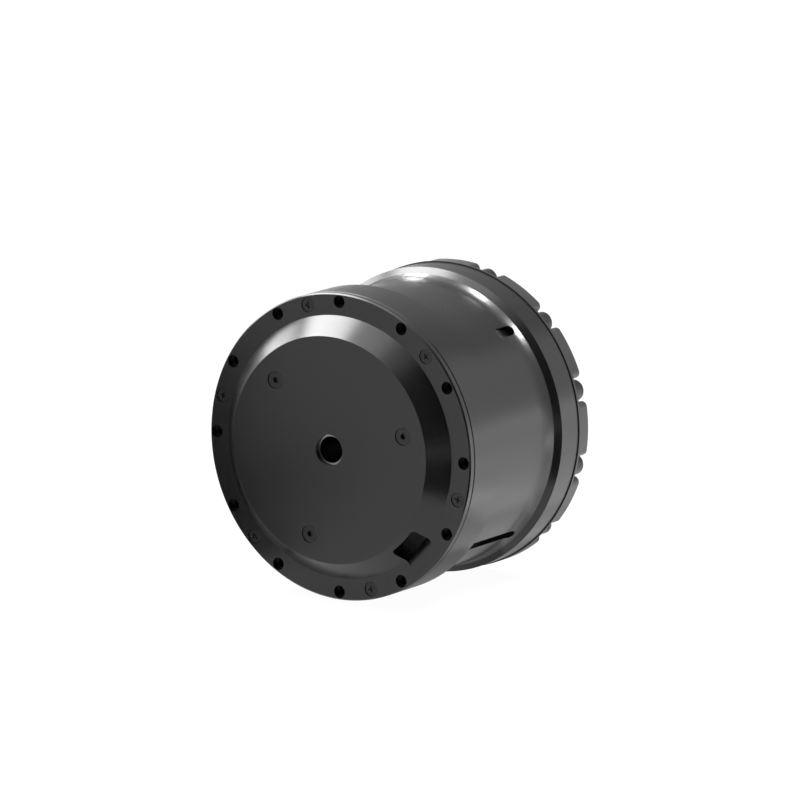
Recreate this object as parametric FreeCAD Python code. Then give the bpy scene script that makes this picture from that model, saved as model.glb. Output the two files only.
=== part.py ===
import FreeCAD, Part
import math
import os

from FreeCAD import Vector

# Hollow-shaft robot joint actuator: a frameless motor and a strain wave gear in
# one round housing.  All sizes are in millimetres.
#
# Frame: the joint axis lies along Y, +Z is up.  The mounting face, the flat rim of
# the end cover, is the plane y = 0 and looks along -Y; the output face looks along
# +Y.  A station is a place on the axis: its y.  A clock angle is a place round the
# axis in degrees: 0 at the top, 90 towards +X.

# --- end cover -------------------------------------------------------------
RIM_RADIUS = 35.0
RIM_THICKNESS = 1.75
RIM_CHAMFER = 0.3
PARTING_CHAMFER = 0.22
RIM_LAND = 5.0
BEVEL_RUN = 4.1
BEVEL_OUTER_RADIUS = RIM_RADIUS - RIM_LAND
PLATEAU_RADIUS = BEVEL_OUTER_RADIUS - BEVEL_RUN
PLATEAU_HEIGHT = 4.2
COVER_WALL = 1.3
COVER_BORE_RADIUS = 3.6
COVER_BOSS_RADIUS = 5.6
COVER_BOSS_DEPTH = 3.0
SPIGOT_LENGTH = 2.25
SPIGOT_WALL = 1.5
WINDOW_WIDTH = 8.1
WINDOW_HEIGHT = 3.2
WINDOW_CLOCK = 135.0
WINDOW_CORNER = 1.0
WINDOW_LIP_RADIUS = 4.0
WINDOW_LIP_RUN = 1.6
WINDOW_LIP_EDGE = BEVEL_OUTER_RADIUS + WINDOW_LIP_RUN

# --- fasteners seen on the cover -------------------------------------------
MOUNT_HOLE_COUNT = 12
MOUNT_HOLE_EDGE = 1.85
MOUNT_HOLE_CIRCLE = RIM_RADIUS - MOUNT_HOLE_EDGE
MOUNT_HOLE_CLEARANCE_RADIUS = 1.45
MOUNT_HOLE_TAP_RADIUS = 1.03
MOUNT_HOLE_TAP_DEPTH = 6.0
CROSS_SCREW_COUNT = 6
CROSS_SCREW_EDGE = 2.35
CROSS_SCREW_CIRCLE = RIM_RADIUS - CROSS_SCREW_EDGE
CROSS_SCREW_CLOCK = 45.0
CROSS_SCREW_HEAD_RADIUS = 1.55
CROSS_SCREW_SHANK_RADIUS = 0.78
CROSS_SCREW_LENGTH = 5.0
HEX_SCREW_COUNT = 3
HEX_SCREW_INSET = 5.47
HEX_SCREW_CIRCLE = PLATEAU_RADIUS - HEX_SCREW_INSET
HEX_SCREW_CLOCK = 75.0
HEX_SCREW_HEAD_RADIUS = 1.9
HEX_SCREW_SHANK_RADIUS = 0.98
HEX_SCREW_LENGTH = 5.5
HEX_SCREW_SOCKET = 1.3
SCREW_RECESS = 0.2
SCREW_RIM_GAP = 0.15

# --- main housing ------------------------------------------------------------
FRONT_SECTION_LENGTH = 12.4
BODY_STEP = 2.0
BODY_RADIUS = RIM_RADIUS - BODY_STEP
FLARE_LENGTH = 3.6
FLARE_RISE = 0.8
CONE_STATION = 36.45
CONE_LENGTH = 1.35
REAR_RING_PROUD = 0.15
REAR_RING_RADIUS = RIM_RADIUS + REAR_RING_PROUD
REAR_FACE_STATION = 44.74
BAY_WALL = 3.8
MOTOR_WALL = 4.0
GEAR_WALL = 3.0
BAY_RADIUS = RIM_RADIUS - BAY_WALL
MOTOR_BORE_RADIUS = BODY_RADIUS - MOTOR_WALL
GEAR_BORE_RADIUS = BODY_RADIUS - GEAR_WALL
CARRIER_SEAT_STATION = 14.6
WEB_STATION = 31.4
WEB_THICKNESS = 2.2
HUB_WALL = 1.6
POCKET_WIDTH = 2.6
POCKET_DEPTH = 2.2
POCKET_END_STATION = 35.5
LONG_POCKET_CLOCK = 135.0
LONG_POCKET_LEAD_DEPTH = 1.1
LONG_POCKET_STEP_STATION = 26.0
SHORT_POCKET_CLOCK = 44.5
SHORT_POCKET_LENGTH = 5.8
SHORT_POCKET_DEPTH = 1.4

# --- clearances --------------------------------------------------------------
SEAT_CLEARANCE = 0.02
RUNNING_CLEARANCE = 0.05

# --- output bearing (crossed rollers) and its scalloped flange ---------------
FLANGE_PROUD = 0.25
FLANGE_RADIUS = REAR_RING_RADIUS + FLANGE_PROUD
FLANGE_LENGTH = 3.67
FLANGE_BASE_THICKNESS = 0.6
FLANGE_SPIGOT_LENGTH = 3.4
SCALLOP_RADIUS = 2.7
SCALLOP_CORNER = 1.3
FLANGE_SCREW_COUNT = 12
FLANGE_SCREW_EDGE = 2.6
FLANGE_SCREW_CIRCLE = FLANGE_RADIUS - FLANGE_SCREW_EDGE
FLANGE_SCREW_CLOCK = 15.0
FLANGE_SCREW_HEAD_RADIUS = 2.45
FLANGE_SCREW_SHANK_RADIUS = 1.23
FLANGE_SCREW_SOCKET = 2.0
FLANGE_SCREW_DEPTH = 5.5
ROLLER_COUNT = 32
ROLLER_DIAMETER = 3.0
ROLLER_INSET = 2.8
ROLLER_CIRCLE = GEAR_BORE_RADIUS - ROLLER_INSET
RING_GAP = 0.5
SEAL_WIDTH = 1.2
SEAL_THICKNESS = 0.9

# --- output flange -------------------------------------------------------------
OUTPUT_PROUD = 1.0
OUTPUT_BOSS_INSET = 2.2
OUTPUT_BOSS_RADIUS = ROLLER_CIRCLE - OUTPUT_BOSS_INSET
OUTPUT_THICKNESS = 4.8
OUTPUT_BOLT_COUNT = 8
OUTPUT_BOLT_CIRCLE = 18.0
OUTPUT_BOLT_RADIUS = 1.25
OUTPUT_BOLT_DEPTH = 4.0
OUTPUT_DOWEL_CIRCLE = 18.0
OUTPUT_DOWEL_RADIUS = 1.5
OUTPUT_DOWEL_DEPTH = 3.0
OUTPUT_DOWEL_CLOCK = 22.5

# --- hollow shaft ------------------------------------------------------------
TUBE_BORE_RADIUS = 3.04
TUBE_WALL = 0.48
TUBE_RECESS = 1.0
TUBE_FLANGE_RADIUS = 7.4
TUBE_FLANGE_THICKNESS = 1.6
TUBE_SCREW_COUNT = 4
TUBE_SCREW_CIRCLE = 5.6
TUBE_SCREW_HEAD_RADIUS = 1.25
TUBE_SCREW_HEAD_HEIGHT = 0.9
TUBE_SCREW_SHANK_RADIUS = 0.68
TUBE_SCREW_LENGTH = 3.2

# --- strain wave gear --------------------------------------------------------
FLEX_TEETH = 100
WAVE_TEETH_DIFFERENCE = 2
PITCH_INSET = 4.7
TOOTH_MODULE = 2 * (ROLLER_CIRCLE - PITCH_INSET) / FLEX_TEETH
TOOTH_HEIGHT = 0.4
GEAR_STATION = 35.9
GEAR_WIDTH = 4.4
SPLINE_LENGTH = 5.4
FLEX_WALL = 0.5
FLEX_BOSS_RADIUS = 11.5
FLEX_BOSS_THICKNESS = 1.0
CLAMP_THICKNESS = 1.0
CLAMP_SCREW_COUNT = 8
CLAMP_SCREW_CIRCLE = 9.6
CLAMP_SCREW_HEAD_RADIUS = 1.6
CLAMP_SCREW_HEAD_HEIGHT = 1.0
CLAMP_SCREW_SHANK_RADIUS = 0.98
CLAMP_SCREW_LENGTH = 5.0
SPLINE_SCREW_COUNT = 8
SPLINE_SCREW_INSET = 1.6
SPLINE_SCREW_CIRCLE = GEAR_BORE_RADIUS - SPLINE_SCREW_INSET
SPLINE_SCREW_HEAD_RADIUS = 1.25
SPLINE_SCREW_HEAD_HEIGHT = 1.6
SPLINE_SCREW_SHANK_RADIUS = 0.78
SPLINE_SCREW_GRIP = 1.6
WAVE_BEARING_WIDTH = 4.0
WAVE_OUTER_RING = 1.1
WAVE_INNER_RING = 1.2
WAVE_BALL_DIAMETER = 3.0
WAVE_BALL_COUNT = 16

# --- motor -------------------------------------------------------------------
STATOR_STATION = 18.0
STATOR_LENGTH = 10.0
STATOR_BORE_RADIUS = 19.0
SLOT_COUNT = 12
YOKE_THICKNESS = 2.8
TOOTH_WIDTH = 4.4
TOOTH_TIP_HEIGHT = 1.2
TOOTH_TIP_GAP = 1.4
COIL_OVERHANG = 2.4
COIL_THICKNESS = 2.2
AIR_GAP = 0.5
MAGNET_COUNT = 10
MAGNET_THICKNESS = 1.9
MAGNET_COVER = 0.88
ROTOR_RIM_THICKNESS = 2.0
ROTOR_RIM_OVERLAP = 0.5
ROTOR_WEB_THICKNESS = 2.0
SHAFT_BORE_RADIUS = 4.2
SHAFT_SHOULDER_RADIUS = 8.6
SHAFT_FRONT_STATION = 9.7
PLUG_SEAT_RADIUS = 7.0

# --- motor bearings ----------------------------------------------------------
BEARING_BORE_RADIUS = 7.5
BEARING_OUTER_RADIUS = 12.0
BEARING_WIDTH = 5.0
BEARING_BALL_DIAMETER = 2.6
BEARING_BALL_COUNT = 11
FRONT_BEARING_STATION = 13.0
CARRIER_THICKNESS = 2.0
RETAINING_RING_THICKNESS = 1.0
RETAINING_RING_DEPTH = 0.8
SHAFT_SEAL_THICKNESS = 2.0

# --- electronics -------------------------------------------------------------
BOARD_THICKNESS = 1.6
DRIVER_BOARD_STATION = 3.0
BOARD_EDGE_GAP = 2.0
DRIVER_BOARD_RADIUS = BAY_RADIUS - BOARD_EDGE_GAP
DRIVER_BOARD_BORE = 6.0
ENCODER_BOARD_STATION = 8.0
ENCODER_BOARD_THICKNESS = 1.0
ENCODER_DISC_THICKNESS = 1.2
ENCODER_DISC_OUTER = 12.5
ENCODER_DISC_INNER = 8.0
ENCODER_AIR_GAP = 0.7
PILLAR_RADIUS = 1.9
PILLAR_INSET = 2.7
PILLAR_CIRCLE = DRIVER_BOARD_RADIUS - PILLAR_INSET
PILLAR_CLOCK = 95.0
CAPACITOR_CLOCK = 238.0
CAPACITOR_PITCH_ANGLE = 12.0
CAPACITOR_RADIUS = 2.0
CAPACITOR_HEIGHT = 4.0
CAPACITOR_INSET = 4.7
PROCESSOR_CLOCK = 255.0
PROCESSOR_SIDE = 8.0
PROCESSOR_HEIGHT = 1.2
PROCESSOR_INNER_EDGE = 11.0
CONNECTOR_INSET = 2.6
CONNECTOR_DEPTH = 6.0
CONNECTOR_FRONT_STATION = -2.0
CONNECTOR_WALL = 0.6
ENCODER_BOARD_INSET = 4.5
ENCODER_BOARD_RADIUS = PILLAR_CIRCLE - ENCODER_BOARD_INSET
ENCODER_PILLAR_INSET = 2.5
ENCODER_PILLAR_CIRCLE = ENCODER_BOARD_RADIUS - ENCODER_PILLAR_INSET
PILLAR_SCREW_SHANK_RADIUS = 0.78
MOSFET_COUNT = 6

# --- derived places ----------------------------------------------------------
FLANGE_FACE_STATION = REAR_FACE_STATION + FLANGE_LENGTH
OUTPUT_STATION = FLANGE_FACE_STATION + OUTPUT_PROUD
PLATEAU_STATION = -PLATEAU_HEIGHT
COVER_INNER_STATION = PLATEAU_STATION + COVER_WALL
SPIGOT_RADIUS = BAY_RADIUS - SEAT_CLEARANCE
SPIGOT_END_STATION = RIM_THICKNESS + SPIGOT_LENGTH
RING_STATION = CONE_STATION + CONE_LENGTH
WEB_REAR_STATION = WEB_STATION + WEB_THICKNESS
REAR_BEARING_STATION = WEB_REAR_STATION - BEARING_WIDTH - 0.2
HUB_RADIUS = BEARING_OUTER_RADIUS + HUB_WALL
ROLLER_STATION = FLANGE_FACE_STATION - SEAL_THICKNESS - ROLLER_DIAMETER / math.sqrt(2) - 0.35
RING_FRONT_STATION = REAR_FACE_STATION - FLANGE_SPIGOT_LENGTH
OUTER_RACE_RADIUS = ROLLER_CIRCLE + RING_GAP / 2
INNER_RACE_RADIUS = ROLLER_CIRCLE - RING_GAP / 2
RACE_HALF_DIAGONAL = ROLLER_DIAMETER / math.sqrt(2) + RUNNING_CLEARANCE * math.sqrt(2)
OUTPUT_INNER_STATION = OUTPUT_STATION - OUTPUT_THICKNESS
FLEX_PITCH_RADIUS = FLEX_TEETH * TOOTH_MODULE / 2
SPLINE_TEETH = FLEX_TEETH + WAVE_TEETH_DIFFERENCE
SPLINE_PITCH_RADIUS = SPLINE_TEETH * TOOTH_MODULE / 2
FLEX_ROOT_RADIUS = FLEX_PITCH_RADIUS - TOOTH_HEIGHT / 2
FLEX_BORE_RADIUS = FLEX_ROOT_RADIUS - FLEX_WALL
WAVE_HALF_STROKE = TOOTH_MODULE * WAVE_TEETH_DIFFERENCE / 2
SPLINE_STATION = RING_FRONT_STATION - SPLINE_LENGTH
SPLINE_SCREW_SEAT = SPLINE_STATION + SPLINE_SCREW_HEAD_HEIGHT
TUBE_SCREW_SEAT = OUTPUT_STATION - TUBE_SCREW_HEAD_HEIGHT
ROTOR_MAGNET_RADIUS = STATOR_BORE_RADIUS - AIR_GAP
ROTOR_RIM_RADIUS = ROTOR_MAGNET_RADIUS - MAGNET_THICKNESS
ROTOR_RIM_BORE = ROTOR_RIM_RADIUS - ROTOR_RIM_THICKNESS
ROTOR_MIDDLE_STATION = STATOR_STATION + STATOR_LENGTH / 2
CARRIER_STATION = CARRIER_SEAT_STATION - CARRIER_THICKNESS
TUBE_RADIUS = TUBE_BORE_RADIUS + TUBE_WALL
TUBE_FRONT_STATION = PLATEAU_STATION + TUBE_RECESS
PLUG_STATION = GEAR_STATION
DRIVER_BOARD_REAR = DRIVER_BOARD_STATION + BOARD_THICKNESS
ENCODER_BOARD_REAR = ENCODER_BOARD_STATION + ENCODER_BOARD_THICKNESS
OUTPUT_DISC_STATION = ENCODER_BOARD_STATION - ENCODER_AIR_GAP - ENCODER_DISC_THICKNESS
MOTOR_DISC_STATION = ENCODER_BOARD_REAR + ENCODER_AIR_GAP

AXIS = Vector(0, 1, 0)
ORIGIN = Vector(0, 0, 0)


# --- helpers -----------------------------------------------------------------
def disc(radius, start, end):
    """A solid cylinder on the joint axis between two stations."""
    return Part.makeCylinder(radius, end - start, Vector(0, start, 0), AXIS)


def ring(inner, outer, start, end):
    """A plain ring on the joint axis between two stations."""
    return disc(outer, start, end).cut(disc(inner, start - 1, end + 1))


def turned(*corners):
    """A turned piece from its half section: (radius, station) corners in order.

    A corner with a third value is reached by an arc of that sagitta instead of
    a straight line; a positive sagitta bows towards the axis.
    """
    points = [Vector(0, corner[1], corner[0]) for corner in corners]
    edges = []
    for index, corner in enumerate(corners):
        start, end = points[index - 1], points[index]
        if len(corner) == 3:
            chord = end - start
            normal = Vector(0, chord.z, -chord.y)
            middle = (start + end) * 0.5 + normal * (corner[2] / chord.Length)
            edges.append(Part.Arc(start, middle, end).toShape())
        else:
            edges.append(Part.LineSegment(start, end).toShape())
    face = Part.Face(Part.Wire(edges))
    return face.revolve(ORIGIN, AXIS, 360)


def post(radius, circle, start, end, clock=0.0):
    """A cylinder parallel to the axis, on a circle, between two stations."""
    body = Part.makeCylinder(radius, end - start, Vector(0, start, circle), AXIS)
    return spun(body, clock)


def taper(radius, end_radius, circle, start, end):
    """A cone parallel to the axis at the top of a circle."""
    return Part.makeCone(radius, end_radius, end - start, Vector(0, start, circle), AXIS)


def block(width, low, high, start, end):
    """A box at the top of the piece: across X, from radius low to high."""
    corner = Vector(-width / 2, start, low)
    return Part.makeBox(width, end - start, high - low, corner)


def spun(shape, clock):
    """A copy of a shape turned round the joint axis to a clock angle."""
    copy = shape.copy()
    copy.rotate(ORIGIN, AXIS, clock)
    return copy


def around(shape, count, first=0.0):
    """Copies of a shape spaced evenly round the joint axis."""
    return [spun(shape, first + 360.0 / count * index) for index in range(count)]


def group(shapes):
    """Separate solids that share one node."""
    return Part.makeCompound(shapes)


def hexagon(across_flats, circle, start, end):
    """A hexagonal prism parallel to the axis at the top of a circle."""
    reach = across_flats / math.sqrt(3)
    corners = []
    for index in range(7):
        angle = math.radians(60 * index)
        corners.append(Vector(reach * math.cos(angle), start, circle + reach * math.sin(angle)))
    face = Part.Face(Part.makePolygon(corners))
    return face.extrude(Vector(0, end - start, 0))


# --- screws ------------------------------------------------------------------
def countersunk_screw(head_radius, shank_radius, circle, face_station, length):
    """A countersunk screw blank whose flat head looks along -Y."""
    depth = head_radius - shank_radius
    head = taper(head_radius, shank_radius, circle, face_station, face_station + depth)
    shank = post(shank_radius, circle, face_station + depth, face_station + length)
    return head.fuse(shank).removeSplitter()


def cap_screw(head_radius, head_height, shank_radius, circle, seat, length, socket, towards=1):
    """A socket cap screw; its head lies behind the seat (towards=1) or before it."""
    if towards > 0:
        head = post(head_radius, circle, seat, seat + head_height)
        shank = post(shank_radius, circle, seat - length, seat)
        key = hexagon(socket, circle, seat + head_height * 0.45, seat + head_height + 1)
    else:
        head = post(head_radius, circle, seat - head_height, seat)
        shank = post(shank_radius, circle, seat, seat + length)
        key = hexagon(socket, circle, seat - head_height - 1, seat - head_height * 0.45)
    return head.fuse(shank).removeSplitter().cut(key)


# --- end cover ---------------------------------------------------------------
def cable_window():
    """The tool that opens the bevel where the cable comes out."""
    tool = block(WINDOW_WIDTH, PLATEAU_RADIUS - COVER_WALL * 2, BEVEL_OUTER_RADIUS + 1,
                 -WINDOW_HEIGHT, 0)
    roof_edges = [edge for edge in tool.Edges
                  if abs(edge.BoundBox.YMin + WINDOW_HEIGHT) < 1e-6
                  and edge.BoundBox.YLength < 1e-6 and edge.BoundBox.XLength < 1e-6]
    return spun(tool.makeFillet(WINDOW_CORNER, roof_edges), WINDOW_CLOCK)


def window_lip():
    """The tool that rounds the rim down into the cable window."""
    skirt = SPIGOT_RADIUS - SPIGOT_WALL
    tool = block(WINDOW_WIDTH, skirt - 1, WINDOW_LIP_EDGE, -1, WINDOW_LIP_RADIUS)
    centre = Vector(-WINDOW_WIDTH, WINDOW_LIP_RADIUS, WINDOW_LIP_EDGE)
    barrel = Part.makeCylinder(WINDOW_LIP_RADIUS, WINDOW_WIDTH * 2, centre, Vector(1, 0, 0))
    return spun(tool.cut(barrel), WINDOW_CLOCK)


def front_cover():
    slope = COVER_WALL * math.hypot(BEVEL_RUN, PLATEAU_HEIGHT) / PLATEAU_HEIGHT
    inner_top = PLATEAU_RADIUS + COVER_WALL * BEVEL_RUN / PLATEAU_HEIGHT - slope
    skirt = SPIGOT_RADIUS - SPIGOT_WALL
    skirt_top = COVER_INNER_STATION + (skirt - inner_top) * PLATEAU_HEIGHT / BEVEL_RUN
    groove = oring_groove(SPIGOT_RADIUS)
    cover = turned(
        (COVER_BORE_RADIUS, PLATEAU_STATION), (PLATEAU_RADIUS, PLATEAU_STATION),
        (BEVEL_OUTER_RADIUS, 0), (RIM_RADIUS - RIM_CHAMFER, 0), (RIM_RADIUS, RIM_CHAMFER),
        (RIM_RADIUS, RIM_THICKNESS - PARTING_CHAMFER),
        (RIM_RADIUS - PARTING_CHAMFER, RIM_THICKNESS), (SPIGOT_RADIUS, RIM_THICKNESS),
        (SPIGOT_RADIUS, groove[1]), (groove[0], groove[1]), (groove[0], groove[2]),
        (SPIGOT_RADIUS, groove[2]), (SPIGOT_RADIUS, SPIGOT_END_STATION),
        (skirt, SPIGOT_END_STATION), (skirt, skirt_top), (inner_top, COVER_INNER_STATION),
        (COVER_BOSS_RADIUS, COVER_INNER_STATION),
        (COVER_BOSS_RADIUS, PLATEAU_STATION + COVER_BOSS_DEPTH),
        (COVER_BORE_RADIUS, PLATEAU_STATION + COVER_BOSS_DEPTH))
    tools = around(post(MOUNT_HOLE_CLEARANCE_RADIUS, MOUNT_HOLE_CIRCLE, -1, RIM_THICKNESS + 1),
                   MOUNT_HOLE_COUNT)
    tools += around(countersink(CROSS_SCREW_HEAD_RADIUS, CROSS_SCREW_SHANK_RADIUS,
                                CROSS_SCREW_CIRCLE, 0, RIM_THICKNESS),
                    CROSS_SCREW_COUNT, CROSS_SCREW_CLOCK)
    tools += around(countersink(HEX_SCREW_HEAD_RADIUS, HEX_SCREW_SHANK_RADIUS,
                                HEX_SCREW_CIRCLE, PLATEAU_STATION, COVER_INNER_STATION),
                    HEX_SCREW_COUNT, HEX_SCREW_CLOCK)
    tools += [cable_window(), window_lip()]
    return cover.cut(tools)


def countersink(head_radius, shank_radius, circle, face, end):
    """The hole for a countersunk screw that sits a little below the face."""
    head = head_radius + SEAT_CLEARANCE
    shank = shank_radius + SEAT_CLEARANCE
    seat = face + SCREW_RECESS
    depth = head_radius - shank_radius
    sink = taper(head, shank, circle, seat, seat + depth)
    mouth = post(head_radius + SCREW_RIM_GAP, circle, face - 1, seat + SCREW_RIM_GAP)
    return sink.fuse([mouth, post(shank, circle, seat + depth, end + 1)])


def oring_groove(radius):
    """Bottom radius, start and end of the O-ring groove in the cover's spigot."""
    depth = 0.75
    width = 0.9
    start = RIM_THICKNESS + (SPIGOT_LENGTH - width) / 2
    return radius - depth, start, start + width


def cover_oring():
    bottom, start, end = oring_groove(SPIGOT_RADIUS)
    return square_ring(bottom, BAY_RADIUS, start, end)


def square_ring(bottom, outside, start, end):
    """A seal ring with rounded edges that fills its groove."""
    inset = 0.12
    return turned((bottom, start + inset), (bottom, end - inset),
                  (bottom + inset, end - inset / 2), (outside - inset, end - inset / 2),
                  (outside, end - 2 * inset), (outside, start + 2 * inset),
                  (outside - inset, start + inset / 2), (bottom + inset, start + inset / 2))


def cover_cross_screws():
    screw = countersunk_screw(CROSS_SCREW_HEAD_RADIUS, CROSS_SCREW_SHANK_RADIUS,
                              CROSS_SCREW_CIRCLE, SCREW_RECESS,
                              CROSS_SCREW_LENGTH - SCREW_RECESS)
    span = CROSS_SCREW_HEAD_RADIUS
    blade = CROSS_SCREW_HEAD_RADIUS * 0.22
    depth = SCREW_RECESS + CROSS_SCREW_HEAD_RADIUS * 0.3
    bar = block(span, CROSS_SCREW_CIRCLE - blade / 2, CROSS_SCREW_CIRCLE + blade / 2, -1, depth)
    upright = block(blade, CROSS_SCREW_CIRCLE - span / 2, CROSS_SCREW_CIRCLE + span / 2, -1, depth)
    return group(around(screw.cut([bar, upright]), CROSS_SCREW_COUNT, CROSS_SCREW_CLOCK))


def cover_hex_screws():
    screw = countersunk_screw(HEX_SCREW_HEAD_RADIUS, HEX_SCREW_SHANK_RADIUS,
                              HEX_SCREW_CIRCLE, PLATEAU_STATION + SCREW_RECESS,
                              HEX_SCREW_LENGTH - SCREW_RECESS)
    key = hexagon(HEX_SCREW_SOCKET, HEX_SCREW_CIRCLE, PLATEAU_STATION - 1,
                  PLATEAU_STATION + SCREW_RECESS + HEX_SCREW_HEAD_RADIUS * 0.4)
    return group(around(screw.cut(key), HEX_SCREW_COUNT, HEX_SCREW_CLOCK))


# --- main housing ------------------------------------------------------------
def milled_pocket(floor_line, end, clock):
    """A narrow axial pocket with a round rear end.

    The floor line is a list of (station, depth) from the pocket's front on.
    """
    half = POCKET_WIDTH / 2
    roof = RIM_RADIUS + 1
    bottom = BODY_RADIUS - POCKET_DEPTH - 1
    start = floor_line[0][0]
    plan = block(POCKET_WIDTH, bottom, roof, start, end - half)
    nose = Part.makeCylinder(half, roof - bottom, Vector(0, end - half, bottom))
    corners = [Vector(-half, station, BODY_RADIUS - depth) for station, depth in floor_line]
    corners += [Vector(-half, end, corners[-1].z), Vector(-half, end, roof),
                Vector(-half, start, roof)]
    side = Part.Face(Part.makePolygon(corners + corners[:1]))
    return spun(plan.fuse(nose).common(side.extrude(Vector(POCKET_WIDTH, 0, 0))), clock)


def main_housing():
    edge = RIM_CHAMFER
    flare_start = CONE_STATION - FLARE_LENGTH
    cone_radius = BODY_RADIUS + FLARE_RISE
    chord = math.hypot(FLARE_LENGTH, FLARE_RISE)
    sagitta = chord / 2 * math.tan(math.atan2(FLARE_RISE, FLARE_LENGTH) / 2)
    seal_seat_end = WEB_REAR_STATION + SHAFT_SEAL_THICKNESS
    lip = BEARING_OUTER_RADIUS - 1.4
    bearing_end = REAR_BEARING_STATION + BEARING_WIDTH
    ring_groove = CARRIER_STATION - RETAINING_RING_THICKNESS
    groove_radius = BAY_RADIUS + RETAINING_RING_DEPTH
    housing = turned(
        (BAY_RADIUS, RIM_THICKNESS), (RIM_RADIUS - PARTING_CHAMFER, RIM_THICKNESS),
        (RIM_RADIUS, RIM_THICKNESS + PARTING_CHAMFER),
        (RIM_RADIUS, FRONT_SECTION_LENGTH - edge), (RIM_RADIUS - edge, FRONT_SECTION_LENGTH),
        (BODY_RADIUS, FRONT_SECTION_LENGTH), (BODY_RADIUS, flare_start),
        (cone_radius, CONE_STATION, sagitta), (REAR_RING_RADIUS, RING_STATION),
        (REAR_RING_RADIUS, REAR_FACE_STATION), (GEAR_BORE_RADIUS, REAR_FACE_STATION),
        (GEAR_BORE_RADIUS, WEB_REAR_STATION), (HUB_RADIUS, WEB_REAR_STATION),
        (HUB_RADIUS, seal_seat_end), (BEARING_OUTER_RADIUS, seal_seat_end),
        (BEARING_OUTER_RADIUS, WEB_REAR_STATION), (lip, WEB_REAR_STATION),
        (lip, bearing_end), (BEARING_OUTER_RADIUS, bearing_end),
        (BEARING_OUTER_RADIUS, REAR_BEARING_STATION), (HUB_RADIUS, REAR_BEARING_STATION),
        (HUB_RADIUS, WEB_STATION), (MOTOR_BORE_RADIUS, WEB_STATION),
        (MOTOR_BORE_RADIUS, CARRIER_SEAT_STATION), (BAY_RADIUS, CARRIER_SEAT_STATION),
        (BAY_RADIUS, CARRIER_STATION), (groove_radius, CARRIER_STATION),
        (groove_radius, ring_groove), (BAY_RADIUS, ring_groove))
    tap_end = RIM_THICKNESS + MOUNT_HOLE_TAP_DEPTH
    tools = around(post(MOUNT_HOLE_TAP_RADIUS, MOUNT_HOLE_CIRCLE, RIM_THICKNESS - 1, tap_end),
                   MOUNT_HOLE_COUNT)
    tools += around(post(CROSS_SCREW_SHANK_RADIUS + SEAT_CLEARANCE, CROSS_SCREW_CIRCLE,
                         RIM_THICKNESS - 1, CROSS_SCREW_LENGTH + 0.5),
                    CROSS_SCREW_COUNT, CROSS_SCREW_CLOCK)
    tools += around(post(FLANGE_SCREW_SHANK_RADIUS + SEAT_CLEARANCE, FLANGE_SCREW_CIRCLE,
                         REAR_FACE_STATION - FLANGE_SCREW_DEPTH - 0.5, REAR_FACE_STATION + 1),
                    FLANGE_SCREW_COUNT, FLANGE_SCREW_CLOCK)
    ramp = POCKET_DEPTH - LONG_POCKET_LEAD_DEPTH
    long_floor = [(FRONT_SECTION_LENGTH, LONG_POCKET_LEAD_DEPTH),
                  (LONG_POCKET_STEP_STATION - ramp, LONG_POCKET_LEAD_DEPTH),
                  (LONG_POCKET_STEP_STATION, POCKET_DEPTH)]
    short_start = POCKET_END_STATION - SHORT_POCKET_LENGTH
    short_floor = [(short_start, 0), (POCKET_END_STATION, SHORT_POCKET_DEPTH)]
    tools.append(milled_pocket(long_floor, POCKET_END_STATION, LONG_POCKET_CLOCK))
    tools.append(milled_pocket(short_floor, POCKET_END_STATION, SHORT_POCKET_CLOCK))
    return housing.cut(tools)


# --- output bearing ----------------------------------------------------------
def scallop():
    """The tool for one screw relief: a round pocket whose mouth flares outwards."""
    start = REAR_FACE_STATION + FLANGE_BASE_THICKNESS
    end = FLANGE_FACE_STATION + 1
    bore = post(SCALLOP_RADIUS, FLANGE_SCREW_CIRCLE, start, end)
    corner_height = math.sqrt((FLANGE_RADIUS - SCALLOP_CORNER) ** 2
                              - (SCALLOP_RADIUS + SCALLOP_CORNER) ** 2)
    half = SCALLOP_RADIUS + SCALLOP_CORNER
    throat = block(2 * SCALLOP_RADIUS, FLANGE_SCREW_CIRCLE, corner_height + 0.1, start, end)
    mouth = block(2 * half, corner_height, FLANGE_RADIUS + 1, start, end)
    for side in (-1, 1):
        centre = Vector(side * half, start, corner_height)
        mouth = mouth.cut(Part.makeCylinder(SCALLOP_CORNER, end - start, centre, AXIS))
    return bore.fuse([throat, mouth]).removeSplitter()


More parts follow.
